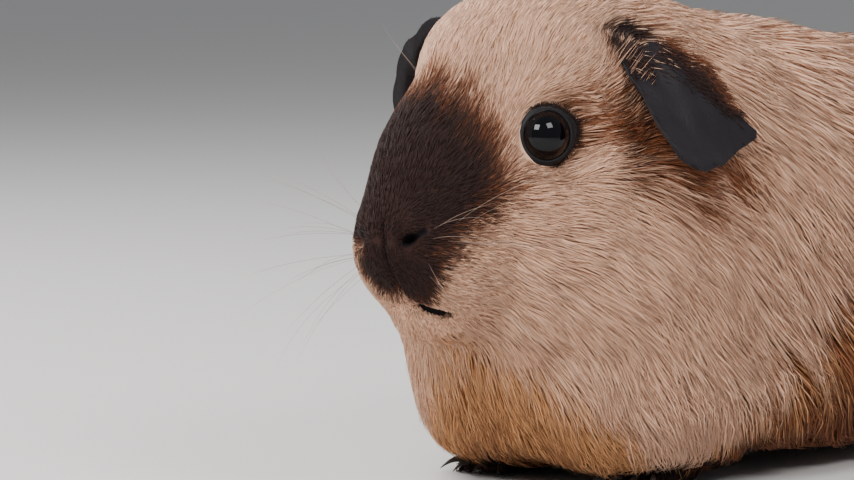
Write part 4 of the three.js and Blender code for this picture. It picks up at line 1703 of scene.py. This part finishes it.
@dataclass
class Coat:
    """Every tuft of the animal, grown from the skin along the comb."""

    surface: Surface
    comb: Comb
    thinning: float = 1.0
    piece_limit: int = 190_000
    lock_share: float = 0.07  # how many locks there are to a tuft
    crowd: float = 1.3  # how much thicker tufts grow at the edge of a bare feature
    crowd_reach: float = 2.6  # and how far from it
    root_depth: float = 0.25  # how far under the skin a tuft starts
    eye_clear: float = 5.9  # no tuft starts nearer to the line of sight
    eye_edge: Pair = (5.6, 6.3)  # how far out a tuft is moved off the eyeball
    floor_clear: float = 0.25  # the least height of a tuft
    edge_spread: float = 6.0  # how far a marking's edge moves from tuft to tuft
    # Short, middling and long tufts: from and to what length, the stretches of each, and how far a lock's
    # tips draw together.
    lengths: tuple[tuple[float, float, int, float], ...] = (
        (0, 6.2, 2, 0.22),
        (6.2, 10.5, 3, 0.42),
        (10.5, 99, 3, 0.52),
    )
    rng: np.random.Generator = field(default_factory=lambda: np.random.default_rng(SEED))

    def roots(self) -> tuple[Array, Array, Array]:
        """Scatters roots over the skin as thickly as the comb says, clear of the eyes, nostrils and mouth.

        Returns:
            The roots, the skin's normals there, and how far each root is from a bare feature.
        """
        s = self.surface
        middles = s.places[s.faces].mean(1)
        facing = unit(s.normals[s.faces].sum(1))
        crowd = 1 + self.crowd * (1 - smooth_step(s.room[s.faces].mean(1), 0.0, self.crowd_reach))
        expected = s.areas() * self.comb.read(middles, facing).count * crowd * self.thinning
        number = self.rng.poisson(expected)
        index = np.repeat(np.arange(len(number)), number)
        a, b = np.sqrt(self.rng.random(len(index))), self.rng.random(len(index))
        weights = np.stack([1 - a, a * (1 - b), a * b], 1)
        places = np.einsum("ij,ijk->ik", weights, s.places[s.faces[index]])
        normals = unit(np.einsum("ij,ijk->ik", weights, s.normals[s.faces[index]]))
        room = np.einsum("ij,ij->i", weights, s.room[s.faces[index]])
        keep = self.clear(places) & (room > 0)
        return places[keep], normals[keep], room[keep]

    def clear(self, places: Array) -> Array:
        """Which places are off the eyes and the soles.

        Args:
            places: places in the row frame.

        Returns:
            True for each that is.
        """
        keep = np.ones(len(places), bool)
        for eye in BOTH_EYES:
            local = (places - eye.centre) @ eye.axes.T
            keep &= (np.hypot(local[:, 0], local[:, 1]) > self.eye_clear) | (local[:, 2] < 0)
        soles = (places[:, 2] < 1.0) & (np.abs(places[:, 1]) > 8)
        return keep & ~soles

    def grow(self, roots: Array, normals: Array, room: Array, steps: int, clump: float) -> Tufts:
        """Combs tufts over the skin from their roots.

        Args:
            roots: where they grow.
            normals: the skin's normals there.
            room: how far each root is from a bare feature, which its tuft stays off.
            steps: how many stretches each path has.
            clump: how far the tufts of a lock draw together at their tips.

        Returns:
            The tufts.
        """
        number = len(roots)
        reading = self.comb.read(roots, normals)
        length = reading.length * self.rng.normal(1.0, 0.16, number).clip(0.55, 1.4)
        length = np.minimum(length, 0.5 + 0.95 * room)
        layer = self.rng.beta(2.4, 1.6, number)
        veer = 0.16 * ripple(roots, 9.0, 11) + 0.12 * ripple(roots, 23.0, 12)
        veer = veer + self.rng.normal(0, 0.09, number)
        wave = 0.14 * ripple(roots, 13.0, 13)
        at, up, lie = roots, normals, reading.lie
        paths, ups = [roots - normals * self.root_depth], [normals]
        depth = reading.depth * (0.35 + 0.75 * layer)
        for step in range(1, steps + 1):
            share = step / steps
            turn = veer + wave * math.sin(2.6 * math.pi * share)
            cross = np.cross(up, lie)
            heading = lie * np.cos(turn)[:, None] + cross * np.sin(turn)[:, None]
            at, up = self.surface.nearest(at + heading * (length / steps)[:, None])
            height = depth * (1 - (1 - share) ** 1.7) + 0.05
            paths.append(at + up * height[:, None])
            ups.append(up)
            lie = self.comb.read(at, up).lie
        path, ups_all = np.stack(paths, 1), np.stack(ups, 1)
        self.gather(path, clump)
        self.push_from_eyes(path)
        path[..., 2] = np.maximum(path[..., 2], self.floor_clear)
        chance = self.rng.random(number)
        marks = MARKINGS.marks(roots, chance, self.edge_spread)
        marks |= {"chance": self.rng.random(number), "bare": np.zeros(number)}
        widths = reading.width * self.rng.normal(1.0, 0.18, number).clip(0.5, 1.5)
        return Tufts(path, ups_all, widths, roots, marks)

    def gather(self, path: Array, clump: float) -> None:
        """Draws the tufts of each lock together towards their tips.

        Args:
            path: the tufts' paths, which are changed.
            clump: how far the tips draw together.
        """
        number, points = path.shape[:2]
        guides = self.rng.choice(number, max(1, int(number * self.lock_share)), replace=False)
        tree = KDTree(len(guides))
        for i, place in enumerate(path[guides, 0]):
            tree.insert(place, i)
        tree.balance()
        nearest = guides[[tree.find(p)[1] for p in path[:, 0].tolist()]]
        pull = clump * self.rng.uniform(0.35, 1.0, number)
        for k in range(1, points):
            share = pull * (k / (points - 1)) ** 1.2
            path[:, k] += (path[nearest, k] - path[:, k]) * share[:, None]

    def push_from_eyes(self, path: Array) -> None:
        """Moves whatever would lie over an eyeball out to its lids.

        Args:
            path: the tufts' paths, which are changed.
        """
        edge = self.rng.uniform(*self.eye_edge, len(path))[:, None]
        for eye in BOTH_EYES:
            local = (path - eye.centre) @ eye.axes.T
            across = np.hypot(local[..., 0], local[..., 1])
            near = (local[..., 2] > 0) & (across < edge)
            scale = np.where(near, edge / np.maximum(across, 0.5), 1.0)
            local[..., :2] *= scale[..., None]
            moved = eye.centre + local @ eye.axes
            path[near] = moved[near]

    def all_tufts(self) -> list[Tufts]:
        """Grows the short, middling and long tufts.

        Returns:
            The tufts, by kind.
        """
        roots, normals, room = self.roots()
        length = self.comb.read(roots, normals).length
        grown = []
        for low, high, steps, clump in self.lengths:
            chosen = (length >= low) & (length < high)
            grown.append(self.grow(roots[chosen], normals[chosen], room[chosen], steps, clump))
            log.info("%d tufts from %.1f to %.1f mm long", chosen.sum(), low, high)
        for ear in EARS:
            grown.append(ear.hairs(self.rng, int(5000 * self.thinning)))
            grown.append(self.forelocks(ear.side, int(60 * self.thinning)))
        for eye in BOTH_EYES:
            grown.append(eye.fringe(self.rng, int(520 * self.thinning)))
        return grown

    def forelocks(self, side: Side, number: int) -> Tufts:
        """Long hairs, most of them pale, that sweep up and back across the front of an ear's root.

        Args:
            side: the ear's side.
            number: how many hairs.

        Returns:
            The hairs.
        """
        flip = np.array([1, side.value, 1])
        share = self.rng.random(number)[:, None]
        base = np.array([-7.5, 18.6, 13.0]) * (1 - share) + np.array([-10.8, 24.0, 2.5]) * share
        base = base + self.rng.normal(0.0, 1.2, (number, 3))
        roots, normals = self.surface.nearest(from_head(base * flip))
        aim = unit(np.array([-0.42, 0.16, 0.88]) + self.rng.normal(0.0, 0.08, (number, 3)))
        lie, back = (aim * flip) @ HEAD_AXES, -HEAD_AXES[0]
        length = self.rng.uniform(3.5, 7.5, number)[:, None]
        lift = self.rng.uniform(0.7, 2.0, number)[:, None]
        path = []
        for along in np.linspace(0, 1, 5):
            place = roots + lie * length * along + back * 0.3 * length * along**2
            path.append(place + normals * (lift * math.sin(2.3 * along) - 0.2))
        dark = self.rng.random(number) < 0.35
        marks = {"dark": np.where(dark, 0.75, 0.0), "rust": np.where(dark, 1.0, 0.2)}
        marks |= {"gold": np.zeros(number), "chance": self.rng.random(number), "bare": np.zeros(number)}
        ups = np.repeat(normals[:, None], 5, axis=1)
        return Tufts(np.stack(path, 1), ups, np.full(number, 0.09), roots, marks)

    def patches(self, roots: Array) -> Array:
        """The patch and side that each root belongs to, as one number.

        Args:
            roots: the roots.

        Returns:
            Twice the patch's number, and one more on the right.
        """
        head = to_head(roots)
        x, y, z = roots.T
        number = {part: index for index, part in enumerate(Patch)}
        patch = np.full(len(roots), number[Patch.FLANK])
        patch[x < -58] = number[Patch.RUMP]
        patch[head[:, 0] > -45] = number[Patch.RUFF]
        patch[head[:, 0] > -14] = number[Patch.CHEEK]
        patch[(head[:, 0] > -14) & (head[:, 2] > 0)] = number[Patch.BROW]
        patch[head[:, 0] > 14] = number[Patch.MUZZLE]
        patch[(x > 40) & (z < 27)] = number[Patch.BREAST]
        near_feet = (np.abs(x - FOREFEET) < 17) | (np.abs(x - HINDFEET) < 27)
        patch[(z < 9) & near_feet & (np.abs(y) > 8)] = number[Patch.FEET]
        return patch * 2 + (y < -2)

    def build(self, wardrobe: Wardrobe) -> None:
        """Builds the coat's pieces, none above the limit of triangles.

        Args:
            wardrobe: the materials.
        """
        kinds = self.all_tufts()
        codes = [self.patches(t.roots) for t in kinds]
        for index, patch in enumerate(Patch):
            for side in Side:
                code = index * 2 + (side is Side.RIGHT)
                mine = [t.pick(c == code) for t, c in zip(kinds, codes)]
                mine = [t for t in mine if len(t.paths)]
                self.build_patch(f"coat_{patch.value}_{side.word}", mine, patch, wardrobe)

    def build_patch(self, name: str, kinds: list[Tufts], patch: Patch, wardrobe: Wardrobe) -> None:
        """Builds one patch, in as many pieces as the limit asks for.

        Args:
            name: the patch's name.
            kinds: its tufts.
            patch: the patch.
            wardrobe: the materials.
        """
        total = sum(t.triangles for t in kinds)
        shares = max(1, math.ceil(total / self.piece_limit))
        every = np.concatenate([t.roots[:, 0] for t in kinds])
        cuts = np.quantile(every, np.linspace(0, 1, shares + 1))
        cuts[0], cuts[-1] = -1e9, 1e9
        for i in range(shares):
            part = [t.pick((t.roots[:, 0] >= cuts[i]) & (t.roots[:, 0] < cuts[i + 1])) for t in kinds]
            part = [t for t in part if len(t.paths)]
            piece_name = name if shares == 1 else f"{name}_{i + 1}"
            piece = add_object(piece_name, tuft_mesh(piece_name, part, self.rng))
            wardrobe.dress(piece, "coat")
            place_piece(piece, "coat_dark" if patch is Patch.FEET else "coat_cream")


# ---- Whiskers and claws ----


@dataclass(frozen=True)
class Whiskers:
    """The whiskers of one side's muzzle, brow and temple, as thin tapering strands."""

    side: Side
    rows: int = 4
    in_row: int = 5
    thickness: float = 0.075
    steps: int = 10

    def stems(self, rng: np.random.Generator) -> tuple[Array, Array, Array]:
        """Where the whiskers start, where they point and how long they are.

        Args:
            rng: shifts and turns each a little.

        Returns:
            The starts, the directions and the lengths.
        """
        starts, aims, lengths = [], [], []
        for row in range(self.rows):
            for i in range(self.in_row):
                back = i / (self.in_row - 1)
                down = row / (self.rows - 1)
                starts.append([29.0 - 9.0 * back, 9.2 + 3.4 * back, -14.5 - 9.5 * down - 1.0 * back])
                aims.append([0.45 - 0.75 * back, 1.0, 0.5 - 1.15 * down])
                lengths.append(20 + 16 * back + 4 * (1 - abs(2 * down - 1)))
        for forward in (2.0, 4.5):
            starts.append([forward, 14.0, 9.5])
            aims.append([0.15, 0.75, 0.7])
            lengths.append(16.0)
        starts.append([-7.5, 20.4, -1.5])
        aims.append([-0.7, 0.72, 0.08])
        lengths.append(24.0)
        starts_all, aims_all = np.array(starts), np.array(aims)
        starts_all += rng.normal(0, 0.5, starts_all.shape)
        aims_all += rng.normal(0, 0.12, aims_all.shape)
        flip = np.array([1, self.side.value, 1])
        scale = rng.uniform(0.75, 1.15, len(starts))
        return from_head(starts_all * flip), (unit(aims_all) * flip) @ HEAD_AXES, np.array(lengths) * scale

    def build(self, surface: Surface, wardrobe: Wardrobe, rng: np.random.Generator) -> None:
        """Builds the whiskers of one side as one piece.

        Args:
            surface: the skin.
            wardrobe: the materials.
            rng: bends each a little.
        """
        starts, aims, lengths = self.stems(rng)
        roots, normals = surface.nearest(starts)
        share = np.linspace(0, 1, self.steps + 1)
        droop = rng.uniform(0.08, 0.22, len(roots))
        sweep = rng.uniform(0.05, 0.3, len(roots))
        reach = share[None, :, None] * lengths[:, None, None]
        bend = (share**2)[None, :, None] * lengths[:, None, None]
        path = (roots - normals * 0.5)[:, None] + aims[:, None] * reach
        path = path - UP * bend * droop[:, None, None] - HEAD_AXES[0] * bend * sweep[:, None, None]
        number = len(roots)
        ups = np.repeat(normals[:, None], self.steps + 1, axis=1)
        marks = {"chance": rng.random(number)}
        tufts = Tufts(path, ups, np.full(number, self.thickness), roots, marks)
        name = f"whiskers_{self.side.word}"
        piece = add_object(name, tuft_mesh(name, [tufts], rng))
        wardrobe.dress(piece, "whisker")
        place_piece(piece, "coat_cream")


@dataclass(frozen=True)
class Foot:
    """The claws of one foot. Each is a cone that bends down to its point."""

    name: str
    side: Side
    heel: Pair
    ball: Pair
    toes: tuple[float, ...]  # each toe's turn, in degrees
    toe_length: float
    claw: float  # how long a claw is
    radius: float = 0.85

    def build(self, wardrobe: Wardrobe) -> None:
        """Builds the foot's claws as one piece in place of its claw nodes.

        Args:
            wardrobe: the materials.
        """
        bm = bmesh.new()
        heel, ball = np.array(self.heel), np.array(self.ball)
        for degrees in self.toes:
            line = unit(ball - heel)
            turn = math.radians(degrees)
            cos, sin = math.cos(turn), math.sin(turn)
            line = np.array([line[0] * cos - line[1] * sin, line[0] * sin + line[1] * cos])
            tip = ball + line * (1 + self.toe_length)
            made = bmesh.ops.create_uvsphere(bm, u_segments=14, v_segments=18, radius=1.0)["verts"]
            local = np.array([v.co for v in made])
            share = (local[:, 2] + 1) / 2
            round_it = unit(local[:, :2]) * (np.hypot(local[:, 0], local[:, 1]) > 0.01)[:, None]
            wide = self.radius * np.sqrt(np.clip(1 - share, 0, 1)) * (1 - 0.35 * share)
            ahead = (self.claw + 1.4) * share - 0.8
            height = 2.25 + round_it[:, 1] * wide * 1.1 + 0.6 * np.sin(math.pi * share) - 1.35 * share**2
            across = np.array([-line[1], line[0]])
            flat = tip + line * ahead[:, None] + across * (round_it[:, :1] * wide[:, None] * 0.75)
            for vertex, place in zip(made, np.stack([flat[:, 0], self.side.value * flat[:, 1], height], 1)):
                vertex.co = Vector(place * MM)
        bmesh.ops.recalc_face_normals(bm, faces=bm.faces)
        piece = add_object(f"claws_{self.name}_{self.side.word}", finish_mesh(bm, "claws"))
        wardrobe.dress(piece, "claw")
        nodes = [f"{self.name}claw_{self.side.word}_{i + 1}" for i in range(len(self.toes))]
        place_piece(piece, "claw", *nodes)


def all_feet() -> list[Foot]:
    """The four feet.

    Returns:
        The feet, left ones first.
    """
    feet = []
    for side in Side:
        feet.append(Foot("fore", side, (55.0, 16.5), (61.0, 16.8), (-30, -10, 10, 30), 8.0, 4.5))
        feet.append(Foot("hind", side, (-73.0, 30.0), (-49.0, 32.0), (-22, 2, 26), 10.0, 5.5, 0.95))
    return feet


# ---- The studio ----


@dataclass(frozen=True)
class Studio:
    """A pale floor, soft lights and the camera."""

    azimuth: float = 128.0
    elevation: float = 5.0
    stand: Point = (0.7291, 0.4852, 0.1169)
    lens: float = 187.0
    sensor: float = 36.0
    sky: float = 0.35  # how bright the sky is
    # Each light's name, its place as the camera sees it (right, up and back), how far it is, its width in
    # metres and its power in watts.
    lights: tuple[tuple[str, Point, float, float, float], ...] = (
        ("left box", (-0.34, 0.55, 0.76), 0.7, 0.26, 4.2),
        ("right box", (0.5, 0.59, 0.63), 0.7, 0.25, 2.5),
        ("top box", (-0.55, 0.85, -0.25), 0.8, 0.6, 9.0),
    )

    def toward(self, right: float, up: float, back: float) -> Vector:
        """A direction given as the camera sees it, to its right, up and back to it.

        Args:
            right: its share to the right.
            up: its share up.
            back: its share back.

        Returns:
            The direction, of length one.
        """
        a, e = math.radians(self.azimuth), math.radians(self.elevation)
        to_camera = Vector((math.sin(a) * math.cos(e), -math.cos(a) * math.cos(e), math.sin(e)))
        rightward = Vector((math.cos(a), math.sin(a), 0))
        return (rightward * right + to_camera.cross(rightward) * up + to_camera * back).normalized()

    def softbox(self, name: str, direction: Vector, away: float, size: float, power: float) -> None:
        """Hangs a square light that faces the head.

        Args:
            name: the light's name.
            direction: where it hangs, from the head.
            away: how far, in metres.
            size: the side of the square, in metres.
            power: its power in watts.
        """
        light = bpy.data.lights.new(name, "AREA")
        light.shape, light.size, light.energy = "SQUARE", size, power
        lamp = bpy.data.objects.new(name, light)
        bpy.context.scene.collection.objects.link(lamp)
        aim = Vector(EYES * MM)
        lamp.location = aim + direction * away
        lamp.rotation_euler = (-direction).to_track_quat("-Z", "Y").to_euler()

    def lay_floor(self) -> None:
        """Lays the plain floor."""
        bm = bmesh.new()
        bmesh.ops.create_grid(bm, x_segments=1, y_segments=1, size=6.0)
        floor = add_object("floor", finish_mesh(bm, "floor"))
        floor.data.materials.append(Finish("floor", Palette.FLOOR, 0.85).material({}))

    def hang_lights(self) -> None:
        """Hangs the soft lights under a dim, even sky."""
        world = bpy.data.worlds.new("studio")
        world.use_nodes = True
        backdrop = world.node_tree.nodes["Background"]
        backdrop.inputs["Color"].default_value = Palette.SKY.rgba
        backdrop.inputs["Strength"].default_value = self.sky
        bpy.context.scene.world = world
        for name, aim, away, size, power in self.lights:
            self.softbox(name, self.toward(*aim), away, size, power)

    def set_camera(self) -> None:
        """Sets up the camera."""
        camera = bpy.data.objects.new("camera", bpy.data.cameras.new("camera"))
        bpy.context.scene.collection.objects.link(camera)
        camera.data.lens, camera.data.sensor_width = self.lens, self.sensor
        camera.data.clip_start, camera.data.clip_end = 0.01, 50.0
        camera.location = self.stand
        camera.rotation_euler = (-self.toward(0, 0, 1)).to_track_quat("-Z", "Y").to_euler()
        bpy.context.scene.camera = camera

    def build(self) -> None:
        """Lays the floor, hangs the lights and sets up the camera."""
        self.lay_floor()
        self.hang_lights()
        self.set_camera()


def main() -> None:
    """Builds the animal and its studio."""
    logging.basicConfig(level=logging.INFO, format="%(name)s: %(message)s")
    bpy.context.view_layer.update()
    wardrobe = Wardrobe()
    rng = np.random.default_rng(SEED + 1)
    surface, comb = Skin().build(wardrobe)
    for eye in BOTH_EYES:
        place_piece(eye.ball(wardrobe), "eye", f"eye_{eye.side.word}")
    for foot in all_feet():
        foot.build(wardrobe)
    Coat(surface, comb, 0.93).build(wardrobe)
    for side in Side:
        Whiskers(side).build(surface, wardrobe, rng)
    Studio().build()


if __name__ == "__main__":
    main()
